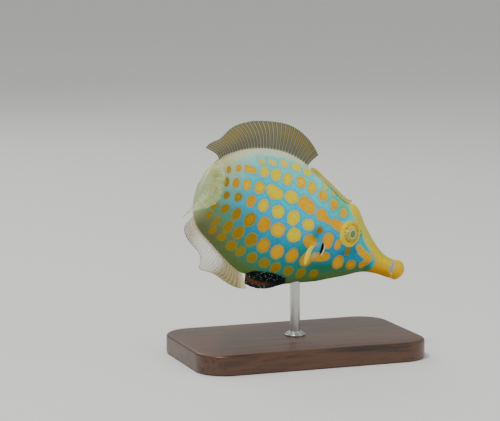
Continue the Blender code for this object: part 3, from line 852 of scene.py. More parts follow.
def head_edge(u, v):
    """Distance inside the blue part of the head, negative on the yellow forehead and snout."""
    ahead, above = u - HEAD_BLUE_U, v - HEAD_BLUE_V
    reach = np.sqrt(np.maximum(ahead, 0))
    steep = 2 * np.maximum(reach, 0.3)
    under_top = UPPER_OPENS * reach + UPPER_BENDS * ahead * ahead - above
    over_low = LOWER_OPENS * reach + LOWER_BENDS * ahead + above
    slope_top = UPPER_OPENS / steep + 2 * UPPER_BENDS * ahead
    slope_low = LOWER_OPENS / steep + LOWER_BENDS
    inside = np.minimum(under_top / np.sqrt(1 + slope_top**2), over_low / np.sqrt(1 + slope_low**2))
    behind_spine = 3.0 * smoothstep((u - SPINE_START + 0.3) / 3.0)
    return np.where(ahead > 0, inside, -np.hypot(ahead, above)) + behind_spine


def head_line(u, v):
    """Bright line that runs inside the edge of the blue, from the eye's front round the snout's wedge."""
    edge = head_edge(u, v)
    across = smoothstep((edge + 0.1) / 0.4) * smoothstep((1.6 - edge) / 0.55)
    return across * smoothstep((v + 3.6) / 2.2) * smoothstep((21.5 - u) / 2.5)


def slit_place(u, v):
    """Place along the gill slit, from 0 at its foot to 1 at its top, and the distance across it."""
    du, dv = GILL_TOP[0] - GILL_FOOT[0], GILL_TOP[1] - GILL_FOOT[1]
    length = math.hypot(du, dv)
    t = ((u - GILL_FOOT[0]) * du + (v - GILL_FOOT[1]) * dv) / length**2
    across = ((u - GILL_FOOT[0]) * dv - (v - GILL_FOOT[1]) * du) / length
    return t, across + GILL_BOW * np.sin(math.pi * np.clip(t, 0, 1))


def slit_mask(u, v):
    """Depth of the gill slit from 0 to 1."""
    t, across = slit_place(u, v)
    width = GILL_HALF_WIDTH * np.sqrt(np.clip(4 * t * (1 - t), 0, 1)) + 0.02
    return smoothstep(1.5 - np.abs(across) / width) * (t > 0) * (t < 1)


def rim_mask(u, v):
    """Pale rim along the front of the gill slit."""
    t, across = slit_place(u, v)
    return hump(across + RIM_OFFSET, RIM_WIDTH) * smoothstep(t / 0.3 + 0.8) * smoothstep((0.98 - t) / 0.25)


def skin_piece():
    stops = ring_stops()
    rings = len(stops) - 1
    skin, ball = ball_piece("fish_skin", SKIN_SEGMENTS, rings)
    ring = np.rint(np.arccos(np.clip(ball[:, 2], -1, 1)) / math.pi * rings).astype(int)
    u = stops[ring]
    turn = np.mod(np.arctan2(ball[:, 1], ball[:, 0]), 2 * math.pi)
    w, v = section_point(u, section_angles(turn))
    v = v + fin_base(u, w, v)
    write_points(skin, place(u, w, v))
    face_outwards(skin)
    side = np.where(w >= 0, 1, -1)
    mark_skin(skin, u, w, v, side)
    carve_skin(skin, u, v, side)
    return skin


def carve_skin(skin, u, v, side):
    """Moves the skin out and in for the lids, gill slits, nostrils, lips and pectoral bases."""
    inward = GILL_DEPTH * slit_mask(u, v) - RIM_HEIGHT * rim_mask(u, v)
    for at_u, at_v, radius in NOSTRILS:
        distance = np.hypot(u - at_u, v - at_v)
        inward += 0.5 * smoothstep((radius * 1.25 - distance) / (radius * 0.8))
        inward -= 0.12 * hump(distance - radius * 1.7, radius * 0.6)
    from_mouth = v - MOUTH_V + MOUTH_SLOPE * u
    near_mouth = smoothstep((1.5 - u) / 0.8)
    inward += near_mouth * (0.34 * hump(from_mouth, 0.15) - 0.12 * hump(from_mouth, 0.7))
    inward += 0.14 * hump(u - 3.4 - 0.25 * np.maximum(0, v), 0.6)
    inward -= 0.6 * smoothstep(1.3 - np.hypot(u - PECTORAL_U, (v - PECTORAL_V) / 1.9))
    points = read_points(skin) - read_points(skin, "normal") * (inward * MM)[:, None]
    crest, height = sizes().lid_radius / MM, sizes().lid_height / MM
    level = EYE_DEPTH - EYE_PROUD
    for eye_side in (1, -1):
        local = to_eye(points, eye_side)
        radius = np.hypot(local[:, 0], local[:, 1])
        near = (side == eye_side) & (radius < EYE_REACH) & (local[:, 2] > EYE_BEHIND)
        r, z = radius[near], local[near, 2]
        lid = level + LID_FOLLOWS * (z - level) + height * hump(r - crest, LID_WIDTH)
        floor = EYE_DEPTH * eye_dome(np.minimum(r / EYE_RADIUS, 1)) - SOCKET_GAP
        inner = floor + (lid - floor) * smoothstep((r - LID_INNER) / (crest - LID_INNER))
        outer = z + (lid - z) * smoothstep((LID_OUTER - r) / (LID_OUTER - crest))
        local[near, 2] = np.where(r < crest, inner, outer)
        points[near] = from_eye(local[near], eye_side)
    write_points(skin, points)


def mark_skin(skin, u, w, v, side):
    """Stores where each marking of the skin lies, and where shade is painted in the mouth line, the
    nostrils and the gill slits.
    """
    spot = np.empty_like(u)
    dull = np.empty_like(u)
    points = read_points(skin)
    eye_place = np.zeros((len(u), 3))
    for one in (1, -1):
        here = side == one
        spot[here], dull[here] = spot_field(u[here], v[here], one)
        eye_place[here] = to_eye(points[here], one) * (one, 1.0, 0.0)
    wedge = np.max([capsule(u, v, streak) for streak in SNOUT_WEDGE], axis=0)
    # Painted shade in the mouth line and the nostrils.
    hollow = 0.7 * smoothstep((1.4 - u) / 0.6) * hump(v - MOUTH_V + MOUTH_SLOPE * u, 0.11)
    for at_u, at_v, radius in NOSTRILS:
        hollow = np.maximum(hollow, smoothstep((radius * 1.1 - np.hypot(u - at_u, v - at_v)) / 0.3))
    band_middle = 5.1 - 0.25 * np.maximum(0, -0.5 - v) ** 2
    band_width = 0.2 + 0.34 * smoothstep((v + 2.6) / 1.4)
    tongue = belly(u) + 0.4 + 2.7 * np.sqrt(np.clip((u - 35.6) * (47.6 - u), 0, 40) / 36)
    shade = 0.8 * hump(np.hypot(u - 19.6, v - 0.6), 2.0) + 0.6 * hump(np.hypot(u - 23.0, v + 2.0), 1.6)
    shade = shade + 0.9 * hump(np.hypot(u - 34.4, (v + 0.2) / 1.3), 1.6)
    glow = hump(np.hypot(u - 32.3, v + 5.6), 1.0) + 0.7 * hump(np.hypot(u - 32.6, v + 2.6), 1.1)
    store(
        skin,
        spot=spot,
        spot_dull=dull,
        wedge=wedge,
        head_edge=head_edge(u, v),
        head_line=head_line(u, v),
        share=(v - middle(u)) / half_height(u) * 0.5 + 0.5,
        along=u / STANDARD_LENGTH,
        slit=slit_mask(u, v),
        rim=rim_mask(u, v),
        hollow=hollow,
        band=np.minimum(band_width - np.abs(u - band_middle), 1.5 - v),
        back_cream=smoothstep((v - back(u) + 2.3) / 2.0) * smoothstep((u - 39.0) / 6.0),
        black_patch=np.minimum(tongue - v, np.minimum(u - 35.4, 48.2 - u)),
        head_shade=np.clip(shade, 0, 1) * (1 - smoothstep((wedge + 0.5) / 0.6)),
        gill_glow=np.clip(glow, 0, 1),
        fish_place=np.stack((u, np.abs(w), v), axis=-1),
        eye_place=eye_place,
    )


def skin_finish():
    """Spotted skin with fine prickly scales."""
    tint = colours()
    paint = Paint("filefish_skin", Specular_IOR_Level=0.16)
    share, along = paint.number("share"), paint.number("along")
    cloud = paint.noise(150.0, 3.0)
    wave = paint.noise(420.0, 2.0)
    fine = paint.noise(1400.0, 3.0, 0.6)
    spot = paint.number("spot") + (wave - 0.5) * 0.6 + (fine - 0.5) * 0.3
    level = share + (cloud - 0.5) * 0.1
    # The ground ramps run from belly to back. They are partly the skin's own colour and partly painted
    # light: painted highlight pales the ground towards the back, and painted shade darkens it towards the
    # belly.
    trunk = paint.ramp(
        level,
        (0.02, tint.belly_green),
        (0.14, srgb(40, 150, 136)),
        (0.29, tint.flank_deep),
        (0.5, tint.flank_blue),
        (0.7, tint.flank_pale),
        (0.9, tint.back_pale),
    )
    head = paint.ramp(
        level,
        (0.04, tint.belly_green),
        (0.2, srgb(34, 132, 104)),
        (0.34, srgb(0, 160, 196)),
        (0.55, tint.head_blue),
        (0.76, srgb(40, 220, 230)),
        (0.97, srgb(90, 222, 170)),
    )
    rear = paint.ramp(
        level,
        (0.02, srgb(114, 124, 80)),
        (0.13, srgb(120, 136, 90)),
        (0.3, srgb(104, 160, 126)),
        (0.5, srgb(144, 194, 154)),
        (0.74, srgb(200, 222, 170)),
        (0.97, srgb(236, 228, 150)),
    )
    low = paint.step(share, 0.45, 0.15)
    near = paint.step(spot, -1.0, -0.25) * paint.step(share, 0.2, 0.45) * paint.step(along, 0.84, 0.66)
    # Painted highlight on the ground between the spots high on the flank.
    between = paint.step(spot, -0.7, -1.6) * paint.step(share, 0.4, 0.65)
    ground = paint.layers(
        trunk,
        (paint.step(along, 0.47, 0.33), head),
        (paint.step(along + low * 0.1, 0.68, 0.9), rear),
        (paint.step(along, 0.84, 0.97) * 0.75, tint.rear_olive),
        (near * 0.55, srgb(110, 214, 240), "MULTIPLY"),
        (between * 0.32, srgb(120, 165, 160), "SCREEN"),
        (paint.number("back_cream") * 0.8, srgb(250, 240, 184)),
    )
    # Painted highlight high on the flank: the spots there turn a lighter yellow, and towards the rear they
    # fade into the pale ground.
    top = paint.step(share, 0.87, 0.97)
    edge = paint.step(spot, 1.0, 0.2)
    # Spot colours from yellow to brown: partly the spots' own colour, partly painted shade on the lower and
    # rearward spots.
    spots = paint.ramp(
        paint.number("spot_dull") + edge * 0.16 + (cloud - 0.5) * 0.15,
        (0.0, tint.spot_yellow),
        (0.32, srgb(255, 186, 0)),
        (0.62, tint.spot_orange),
        (0.95, tint.spot_brown),
    )
    # Painted highlight: lighter yellow spots high on the flank.
    spots = paint.mix(top * 0.6, spots, srgb(255, 246, 40))
    inside = paint.step(spot, -0.34 - low * 0.2, low * 0.2 + 0.24)
    # Spots fade a little on the tail stem, and much more under the painted highlight high on the rear
    # flank.
    strength = 1.0 - paint.step(along, 0.84, 0.98) * 0.2 - top * paint.step(along, 0.55, 0.7) * 0.7
    seam = paint.step(abs(spot + 0.04), 0.24, 0.04) * paint.step(share, 0.5, 0.3)
    body = paint.layers(
        ground,
        (inside * strength, spots),
        (seam * paint.step(along, 0.9, 0.7) * 0.35, srgb(128, 180, 40)),
        (paint.number("head_shade") * 0.75, srgb(90, 170, 160), "MULTIPLY"),
    )
    body = snout_colours(paint, body, share)
    body = belly_patch(paint, body)
    body = gill_colours(paint, body)
    # Painted shade in the mouth line and nostrils.
    body = paint.mix(paint.number("hollow"), body, srgb(70, 44, 12))
    body = lid_colours(paint, body)
    grain = paint.ramp(fine, (0.25, (0.76,) * 3), (0.6, (0.9,) * 3))
    paint.set("Base Color", paint.mix(1.0, body, grain, "MULTIPLY"))
    paint.set("Roughness", 0.46 + fine * 0.16)
    scales = paint.cells(1.0 / sizes().scale_size, "SMOOTH_F1")
    paint.bump(scales * -1.0 + fine * 0.25 + cloud * 0.4, sizes().scale_depth)
    return paint.material


def snout_colours(paint, body, share):
    """Yellow forehead and snout, the bright line under them, the wedge and the pale band."""
    tint = colours()
    along = paint.number("along")
    edge = paint.number("head_edge") + (paint.noise(500.0, 2.0) - 0.5) * 0.5
    band = paint.number("band") + (paint.noise(1100.0, 2.0) - 0.5) * 0.5
    forehead = paint.step(along, 0.13, 0.22) * paint.step(share, 0.6, 0.75)
    # The snout's yellow is partly its own colour and partly painted light: a painted highlight along its
    # top edge, and painted shade that turns the underside a darker orange.
    yellow = paint.ramp(
        share,
        (0.12, tint.snout_orange),
        (0.45, srgb(252, 196, 10)),
        (0.7, tint.snout_yellow),
        (0.93, srgb(210, 200, 60)),
        (0.99, srgb(244, 240, 130)),
    )
    yellow = paint.mix(forehead * 0.6, yellow, srgb(226, 220, 96))
    yellow = paint.mix(paint.step(along, 0.25, 0.28) * forehead * 0.7, yellow, srgb(250, 212, 20))
    orange = paint.mix(paint.step(share, 0.5, 0.24) * 0.7, srgb(255, 190, 0), srgb(210, 140, 4))
    # Upper part of the pale band: lavender as a painted highlight; lower part cream.
    pale = paint.mix(paint.step(share, 0.42, 0.26), tint.lavender, srgb(226, 214, 160))
    return paint.layers(
        body,
        (paint.number("head_line") * 0.95, srgb(0, 204, 210)),
        (paint.step(paint.number("wedge"), -0.35, 0.25), orange),
        (paint.step(edge, 0.5, -0.65), yellow),
        (paint.step(along, 0.07, 0.03) * 0.7, srgb(255, 198, 10)),
        (paint.step(band, -0.15, 0.25), pale),
    )


def belly_patch(paint, body):
    """Black patch with small pale dots over the pelvic flap."""
    tint = colours()
    ragged = paint.number("black_patch") + (paint.noise(700.0, 3.0) - 0.5) * 1.3
    black = paint.mix(flap_dots(paint), tint.flap_black, tint.flap_dot)
    return paint.mix(paint.step(ragged, -0.45, 0.4), body, black)


def flap_dots(paint):
    """Small dots, longer along the fish than high, of unequal size."""
    fish = paint.vector("fish_place")
    grain = paint.noise(1500.0, 2.0)
    dots = paint.cells(1.55, "F1", 0.72, vector=paint.stretch((0.72, 0.5, 1.12), (0.0, 0.35, 0.0), fish))
    return paint.step(dots + (grain - 0.5) * 0.26, 0.27, 0.14)


def gill_colours(paint, body):
    """Pale skin round the pectoral fin, and painted shade that blackens the gill slit, with its pale rim.
    """
    return paint.layers(
        body,
        (paint.number("gill_glow") * 0.55, srgb(170, 226, 210)),
        (paint.step(paint.number("rim"), 0.2, 0.6) * 0.9, srgb(240, 248, 214)),
        # Painted shade in the gill slit.
        (paint.step(paint.number("slit"), 0.12, 0.5), colours().slit_black),
    )


def eye_polar(paint):
    """Places tailwards and upwards on the eye, the distance from its middle and the angle round it."""
    split = paint.vector("eye_place")
    tail = paint.node("ShaderNodeSeparateXYZ", {}, {0: split}, 0)
    up = paint.node("ShaderNodeSeparateXYZ", {}, {0: split}, 1)
    radius = (tail * tail + up * up) ** 0.5
    return tail, up, radius, up.math("ARCTAN2", up, tail)


def lid_colours(paint, body):
    """Bright ring of skin round the eye, with fine darker streaks at its inner side."""
    tail, up, radius, angle = eye_polar(paint)
    grain = paint.noise(1600.0, 3.0, 0.6)
    streak = (angle * 17.0 + (angle * 3.0).sine() * 1.5 + grain * 3.0).sine()
    outline = ((tail - 0.3) * (tail - 0.3) + up * up) ** 0.5
    outline = outline + (angle * 5.0).sine() * 0.09 + (angle * 2.0 + 0.8).sine() * 0.12
    dark = paint.step(streak, 0.2, 0.95) * paint.step(radius, 3.4, 2.7)
    ring = paint.layers(
        colours().lid_yellow,
        (paint.step(tail, 0.6, -2.4) * 0.3, srgb(196, 186, 40)),
        (paint.step(up, 0.6, 2.6) * paint.step(tail, 2.0, -1.0) * 0.5, srgb(250, 176, 0)),
        (dark * 0.35, srgb(150, 108, 6)),
        (paint.step(radius, 2.85, 2.6) * 0.35, srgb(120, 94, 10)),
    )
    return paint.mix(paint.step(outline, 3.98, 3.66), body, ring)


# Eyes

EYE_SEGMENTS = 64
EYE_RINGS = 40


def eye_piece(name, side):
    """Eyeball with a low clear dome, set in its socket of skin."""
    eye, ball = ball_piece(name, EYE_SEGMENTS, EYE_RINGS)
    height = np.sign(ball[:, 2]) * eye_dome(np.hypot(ball[:, 0], ball[:, 1]))
    local = np.stack((ball[:, 0] * EYE_RADIUS, ball[:, 1] * EYE_RADIUS, height * EYE_DEPTH), axis=-1)
    store(eye, eye_place=local * (side, 1.0, 0.0))
    write_points(eye, from_eye(local, side))
    face_outwards(eye)
    return eye


def eye_finish():
    """Gold iris with fine speckles, a pale ring and a grey-green pupil, under a clear coat."""
    tint = colours()
    paint = Paint(
        "filefish_eye", Roughness=0.35, Specular_IOR_Level=0.3, Coat_Weight=0.8, Coat_Roughness=0.04,
    )
    tail, up, radius, angle = eye_polar(paint)
    grain = paint.noise(1500.0, 4.0, 0.65)
    speckle = paint.noise(2600.0, 2.0, 0.5)
    spokes = (angle * 13.0 + (angle * 4.0).sine() * 1.4 + grain * 7.0).sine()
    rings = (radius * 9.0 + grain * 6.0).sine()
    flecks = paint.step(rings, 0.2, 0.9) * paint.step(grain, 0.42, 0.6)
    sides = paint.step(abs(up), 0.8, 0.2) * paint.step(abs(tail), 1.1, 1.5)
    pupil = paint.mix(paint.step(grain, 0.3, 0.7), tint.pupil_green, srgb(112, 140, 84))
    outer = paint.mix(paint.step(spokes, 0.0, 0.9) * 0.4, tint.lid_yellow, srgb(150, 108, 6))
    eye = paint.layers(
        srgb(196, 170, 30),
        (paint.step(up, -0.6, 1.4), tint.iris_gold),
        (paint.step(spokes, -0.1, 0.9) * 0.45, tint.iris_bronze),
        (flecks * 0.6, srgb(96, 78, 12)),
        (paint.step(speckle, 0.56, 0.66) * 0.7, srgb(255, 240, 90)),
        (paint.step(speckle, 0.42, 0.34) * 0.6, srgb(92, 70, 16)),
        (sides * 0.7, srgb(150, 190, 90)),
        (paint.step(abs(radius - 1.62), 0.16, 0.04) * 0.5, srgb(120, 110, 30)),
        (paint.step(radius, 1.56, 1.4), srgb(206, 214, 100)),
        (paint.step(radius, 1.2, 1.0), pupil),
        (paint.step(radius, 2.5, 2.75), outer),
    )
    paint.set("Base Color", eye)
    return paint.material


# Fins

FIN_COLUMNS = 10
ROOT_SHARE = 0.08
RIDGE_SHARE = 0.42
SCALLOP = 0.015
RAY_TAPER = 0.62
THINNEST_SHARE = 0.02


def thicken(obj, thickness):
    """Turns an open surface into a closed piece, with its own thickness at each vertex."""
    thickest = float(thickness.max())
    group = obj.vertex_groups.new(name="thickness")
    for index, weight in enumerate(thickness / thickest):
        group.add([index], float(max(weight, THINNEST_SHARE)), "REPLACE")
    solidify = obj.modifiers.new("thickness", "SOLIDIFY")
    solidify.thickness = thickest
    solidify.offset = 0.0
    solidify.vertex_group = "thickness"
    apply_modifier(obj, solidify)
    obj.vertex_groups.clear()
    face_outwards(obj)


def between_rays(t, rays):
    """0 on a ray and 1 midway between two rays."""
    return np.abs(np.mod(t * rays, 1.0) - 0.5) * 2


def fin_piece(name, rays, rows, point, thickest):
    """A fin with rays as ridges on both faces of its membrane.

    point(t, r) gives the middle surface, t along the root and r from root to tip. Rows under r = 0 are
    sunk in the body, down to r = -ROOT_SHARE. thickest is the thickness of a ray at its root.
    """
    fin, t, level = grid_piece(name, rays * FIN_COLUMNS, rows)
    across = np.where((t < 1e-6) | (t > 1 - 1e-6), 1.0, between_rays(t, rays))
    r = level * (1 + ROOT_SHARE) - ROOT_SHARE
    over = np.clip(r, 0, 1)
    write_points(fin, point(t, r * (1 - SCALLOP * across**2 * smoothstep(r))))
    ridge = 1 - smoothstep(across / RIDGE_SHARE)
    thin = sizes().membrane_thickness
    store(fin, across=across, out=over, along=t, ray=np.floor(t * rays * 0.9999))
    thicken(fin, thin + (thickest - thin) * ridge * (1 - RAY_TAPER * over))
    return fin


def median_fin(name, fin, edge, side):
    """Dorsal fin (side 1, edge back) or anal fin (side -1, edge belly)."""

    def point(t, r):
        u = fin["start"] + (fin["end"] - fin["start"]) * t
        turned = (fin["rear_lean"] - fin["front_lean"]) * t ** fin["lean_power"]
        lean = np.radians(fin["front_lean"] + turned)
        rise = np.sin(math.pi / 2 * np.minimum(1.0, t / fin["full_at"]))
        over = np.maximum(r, 0)
        share = fin["front_share"] + (1 - fin["front_share"]) * rise
        share = share - fin["rear_loss"] * np.maximum(0, t - 0.5) - fin["dip"] * hump(t - DIP_AT, DIP_WIDTH)
        length = fin["height"] * share * over
        wave = np.sin(2 * math.pi * (fin["waves"] * t + fin["phase"])) * (1 - fin["calm"] * t * t)
        swing = math.radians(fin["swing"]) * wave * smoothstep(over) * over
        in_plane = length * np.cos(swing)
        foot = edge(u) + side * (FIN_STANDOFF + MEDIAN_SUNK * np.minimum(r, 0) / ROOT_SHARE)
        return place(
            u + in_plane * np.sin(lean),
            length * np.sin(swing),
            foot + side * in_plane * np.cos(lean),
        )

    return fin_piece(name, fin["rays"], MEDIAN_ROWS, point, sizes().ray_thickness)


def caudal_fin():
    """Rounded tail fin, cupped and curled over the fish's right side, most of all at mid height."""
    root_u = STANDARD_LENGTH + CAUDAL_GAP
    tail, left, up = (np.array(axis) for axis in fish_axes(root_u))
    root_low, root_high = belly(root_u) + CAUDAL_INSET, back(root_u) - CAUDAL_INSET

    def point(t, r):
        lobe = 2 * t - 1
        over = np.maximum(r, 0)
        fan = CAUDAL_SPREAD * lobe
        length = CAUDAL_LENGTH * (1 - CAUDAL_ROUND * lobe * lobe) * over
        loss = CAUDAL_CURL_LOSS * smoothstep((lobe - CAUDAL_LOSS_FROM) / CAUDAL_LOSS_OVER)
        lobe_curl = CAUDAL_CURL * smoothstep((lobe + 1) / CAUDAL_CURL_FULL) * (1 - loss)
        sunk_u = root_u + CAUDAL_SUNK * np.minimum(r, 0) / ROOT_SHARE
        here = place(sunk_u, 0, root_low + (root_high - root_low) * t)
        for k in range(CAUDAL_STEPS):
            curl = CAUDAL_SET + lobe_curl * (k + 0.5) / CAUDAL_STEPS * over
            flat = np.cos(curl)[:, None] * tail - np.sin(curl)[:, None] * left
            way = flat * np.cos(fan)[:, None] + np.sin(fan)[:, None] * up
            here = here + way * (length / CAUDAL_STEPS * MM)[:, None]
        return here

    return fin_piece("tail_fin", CAUDAL_RAYS, CAUDAL_ROWS, point, CAUDAL_RAY_SHARE * sizes().ray_thickness)


def pectoral_fin(name, side):
    """Small fan behind the gill slit. side is 1 on the fish's left and -1 on its right."""
    ahead = Vector(PECTORAL_WAY).normalized()
    across = Vector(PECTORAL_ACROSS)
    across = (across - ahead * across.dot(ahead)).normalized()

    def point(t, r):
        lobe = 2 * t - 1
        over = np.maximum(r, 0)
        root_v = PECTORAL_V + PECTORAL_BASE / 2 * lobe
        root_u = PECTORAL_U - lobe / 4
        out = flank(root_u, root_v) + PECTORAL_STANDOFF + PECTORAL_SUNK * np.minimum(r, 0) / ROOT_SHARE
        fan = PECTORAL_SPREAD * lobe
        length = PECTORAL_LENGTH * (1 - PECTORAL_ROUND * lobe * lobe) * over
        way = [ahead[i] * np.cos(fan) + across[i] * np.sin(fan) for i in range(3)]
        bow = PECTORAL_BOW * np.sin(math.pi * over) * (1 - lobe * lobe)
        return place(
            root_u + way[0] * length,
            side * (out + way[1] * length + bow),
            root_v + way[2] * length,
        )

    return fin_piece(name, PECTORAL_RAYS, PECTORAL_ROWS, point, sizes().small_ray_thickness)


def fin_finish(name, membrane, ray, streak, clear, firm, gaps=0.0, margin=0.0, dots=0.0, front=0.0,
               fade=0.0, joints=0.0, folds=0.0, glow=0.0):
    """Half-clear membrane between firmer rays.

    streak is the colour of the outer part of the membrane. clear and firm are the alphas of membrane and
    rays. The rest are strengths: gaps (painted shade, as dark lines beside the rays), margin (dark edge),
    dots (pale dots at the roots), front (firmer first rays), fade (clearer middle), joints (of the rays),
    folds (painted highlight and painted shade of creases across the rays) and glow (light that comes
    through).
    """
    paint = Paint(name, Roughness=0.5, Specular_IOR_Level=0.3, Emission_Strength=glow)
    across, out, along = paint.number("across"), paint.number("out"), paint.number("along")
    grain = paint.noise(1100.0, 2.0, 0.5)
    patch = paint.noise(260.0, 2.0)
    on_ray = paint.step(across, 0.36, 0.12)
    uneven = (paint.number("ray") * 12.9).sine() * 0.5 + 0.5
    base = paint.mix((grain - 0.5) * 0.5 + 0.15, membrane, ray)
    outer = paint.step(out, 0.25, 0.7) * paint.step(out, 1.0, 0.92) * (0.3 + uneven * 0.7)
    base = paint.mix(outer * paint.step(across, 0.5, 0.8), base, streak)
    # Painted shade in dark lines between the rays.
    gap = paint.step(abs(across - 0.5), 0.2, 0.05) * gaps
    base = paint.mix(gap, base, srgb(44, 48, 52))
    tone = paint.mix(uneven * 0.35, ray, membrane)
    if joints:
        joint = paint.step((out * 130.0 + uneven * 9.0).sine(), 0.4, 1.0)
        tone = paint.mix(joint * joints, tone, srgb(110, 96, 60))
    tone = paint.mix(on_ray, base, tone)
    # Painted highlight on the crests and painted shade in the troughs of creases across the rays.
    if folds:
        wave = (out * 9.0 + along * 6.0 + patch * 14.0).sine()
        tone = paint.mix(paint.step(wave, 0.3, 0.95) * folds, tone, srgb(250, 252, 236))
        tone = paint.mix(paint.step(wave, -0.4, -1.0) * folds * 0.5, tone, srgb(150, 164, 112))
    tone = paint.mix(paint.step(out, 0.08, 0.03) * on_ray * dots, tone, srgb(206, 228, 250))
    rim = paint.step(out, 0.94, 0.98) * margin
    tone = paint.mix(rim, tone, srgb(48, 44, 52))
    leading = paint.step(along, 0.05, 0.02) * front
    tone = paint.mix(leading, tone, srgb(255, 246, 190))
    paint.set("Base Color", tone)
    paint.set("Emission Color", tone)
    alpha = on_ray * (firm - clear) + clear + (patch - 0.5) * 0.2 + outer * 0.1
    alpha = alpha - paint.step(abs(along - 0.5), 0.3, 0.12) * fade
    alpha = alpha + paint.step(along, 0.3, 0.16) * front * 0.6 + leading + rim * 0.3 + gap * 0.3
    paint.set("Alpha", (alpha + paint.step(out, 0.16, 0.0) * 0.4).clamp())
    paint.bump(grain, 0.03 * MM, 0.6)
    return paint.material


# Spine, flap and stand

SPINE_RINGS = 90
SPINE_SEGMENTS = 24
SPINE_ROUND = 0.05
SPINE_RIDGES, SPINE_RIDGE_DEPTH = 4, 0.05
SPINE_TIP_RISE = 0.1
FIRST_BARB, LAST_BARB = 0.16, 0.97
BARB_ROOT_RADIUS, BARB_TIP_RADIUS = 0.24, 0.02
REMESH_SIZE = 0.07


def spine_radius(t):
    return SPINE_ROOT_RADIUS + (SPINE_TIP_RADIUS - SPINE_ROOT_RADIUS) * t


def spine_centre(t):
    u = SPINE_START + (SPINE_END - SPINE_START) * t
    return u, back(u) + SPINE_STANDOFF + spine_radius(t) + SPINE_TIP_RISE * t


def straightened(points):
    """Places u and v of points ahead of the bend."""
    x, z = points[:, 0] / MM + ROD_X, points[:, 2] / MM - AXIS_HEIGHT
    return (
        BEND_START - x * math.cos(PITCH) + z * math.sin(PITCH),
        x * math.sin(PITCH) + z * math.cos(PITCH),
    )


def web_piece():
    """Low web of skin that ties the tip of the folded spine to the back."""
    web, ball = ball_piece("nape_web", SPINE_SEGMENTS, SPINE_SEGMENTS)
    u = WEB_U + WEB_LENGTH / 2 * ball[:, 0]
    v = back(u) + WEB_RISE + WEB_HEIGHT / 2 * ball[:, 2]
    write_points(web, place(u, WEB_HALF_WIDTH * ball[:, 1], v))
    return web


def spine_piece():
    """First dorsal spine folded back on the nape, with its web, and two rows of barbs."""
    spine, ball = ball_piece("nape_spine", SPINE_SEGMENTS, SPINE_RINGS)
    t = np.arccos(np.clip(ball[:, 2], -1, 1)) / math.pi
    turn = np.arctan2(ball[:, 1], ball[:, 0])
    closing = np.sqrt(np.clip(np.minimum(t, 1 - t) / SPINE_ROUND, 0, 1))
    u, v = spine_centre(t)
    radius = spine_radius(t) * closing * (1 + SPINE_RIDGE_DEPTH * np.cos(SPINE_RIDGES * turn))
    write_points(spine, place(u, radius * np.sin(turn), v + radius * np.cos(turn)))
    parts = [spine, web_piece()]
    pairs = sizes().barb_pairs
    long = sizes().barb_length / MM
    for k in range(pairs):
        at = FIRST_BARB + (LAST_BARB - FIRST_BARB) * k / max(1, pairs - 1)
        u_k, v_k = (float(x) for x in spine_centre(at))
        size = float(spine_radius(at))
        for side in (1, -1):
            base = Vector(place(u_k, side * size * 0.35, v_k + size * 0.2))
            tip = Vector(place(u_k - long * 0.6, side * (size + long * 0.45), v_k + size * 0.3))
            axis = tip - base
            deselect()
            bpy.ops.mesh.primitive_cone_add(
                vertices=8, radius1=BARB_ROOT_RADIUS * MM, radius2=BARB_TIP_RADIUS * MM, depth=axis.length,
                location=(base + tip) / 2, rotation=axis.to_track_quat("Z", "Y").to_euler(),
            )
            parts.append(bpy.context.object)
    pick(parts)
    bpy.ops.object.join()
    remesh = spine.modifiers.new("one_surface", "REMESH")
    remesh.mode = "VOXEL"
    remesh.voxel_size = REMESH_SIZE * MM
    apply_modifier(spine, remesh)
    face_outwards(spine)
    u, v = straightened(read_points(spine))
    t = (u - SPINE_START) / (SPINE_END - SPINE_START)
    store(spine, high=(v - spine_centre(t)[1]) / spine_radius(t), along=t)
    return spine


def spine_finish():
    """Tan bone with a pale upper edge and a brown line along its side."""
    paint = Paint("filefish_spine", Roughness=0.5, Specular_IOR_Level=0.25)
    grain = paint.noise(1500.0, 3.0, 0.6)
    high, along = paint.number("high"), paint.number("along")
    level = high * 0.4 + 0.5 + (grain - 0.5) * 0.2
    tone = paint.ramp(
        level,
        (0.08, srgb(226, 226, 160)),
        (0.4, colours().spine_tan),
        (0.62, srgb(200, 164, 92)),
        (0.82, srgb(236, 226, 130)),
    )
    tone = paint.mix(paint.step(along, 0.72, 0.92) * 0.75, tone, srgb(206, 178, 50))
    paint.set("Base Color", tone)
    paint.bump(grain, 0.05 * MM)
    return paint.material


def flap_piece():
    """Fold of skin under the belly, deepest near its rear end, with its stays as low ribs."""
    flap, t, level = grid_piece("belly_flap", FLAP_COLUMNS, FLAP_ROWS)
    r = level * (1 + FLAP_SUNK) - FLAP_SUNK
    over = np.maximum(r, 0)
    u = FLAP_START + (FLAP_END - FLAP_START) * t
    ends = smoothstep(t / 0.45) * smoothstep((1.03 - t) / 0.13)
    depth = FLAP_DEPTH * (0.35 + 0.65 * smoothstep(t / 0.7)) * ends + 0.12
    across = between_rays(t, FLAP_STAYS)
    drop = depth * over * (1 - 0.04 * across**2 + 0.012 * np.sin(97 * t))
    sway = 0.18 * np.sin(11 * t) * over
    foot = belly(u) + 0.1 + 1.4 * np.maximum(-r, 0) / FLAP_SUNK
    write_points(flap, place(u + FLAP_RAKE * drop, sway, foot - drop))
    half = FLAP_ROOT_HALF + (FLAP_EDGE_HALF - FLAP_ROOT_HALF) * over**0.6
    half = half + 0.1 * (1 - smoothstep(across / 0.5)) * (1 - over)
    half = half * (0.2 + 0.8 * smoothstep(np.minimum(t / 0.2, (1 - t) / 0.1)))
    store(flap, fish_place=np.stack((u, np.zeros_like(u), foot - drop), axis=-1), out=over, along=t)
    thicken(flap, 2 * half * MM)
    return flap


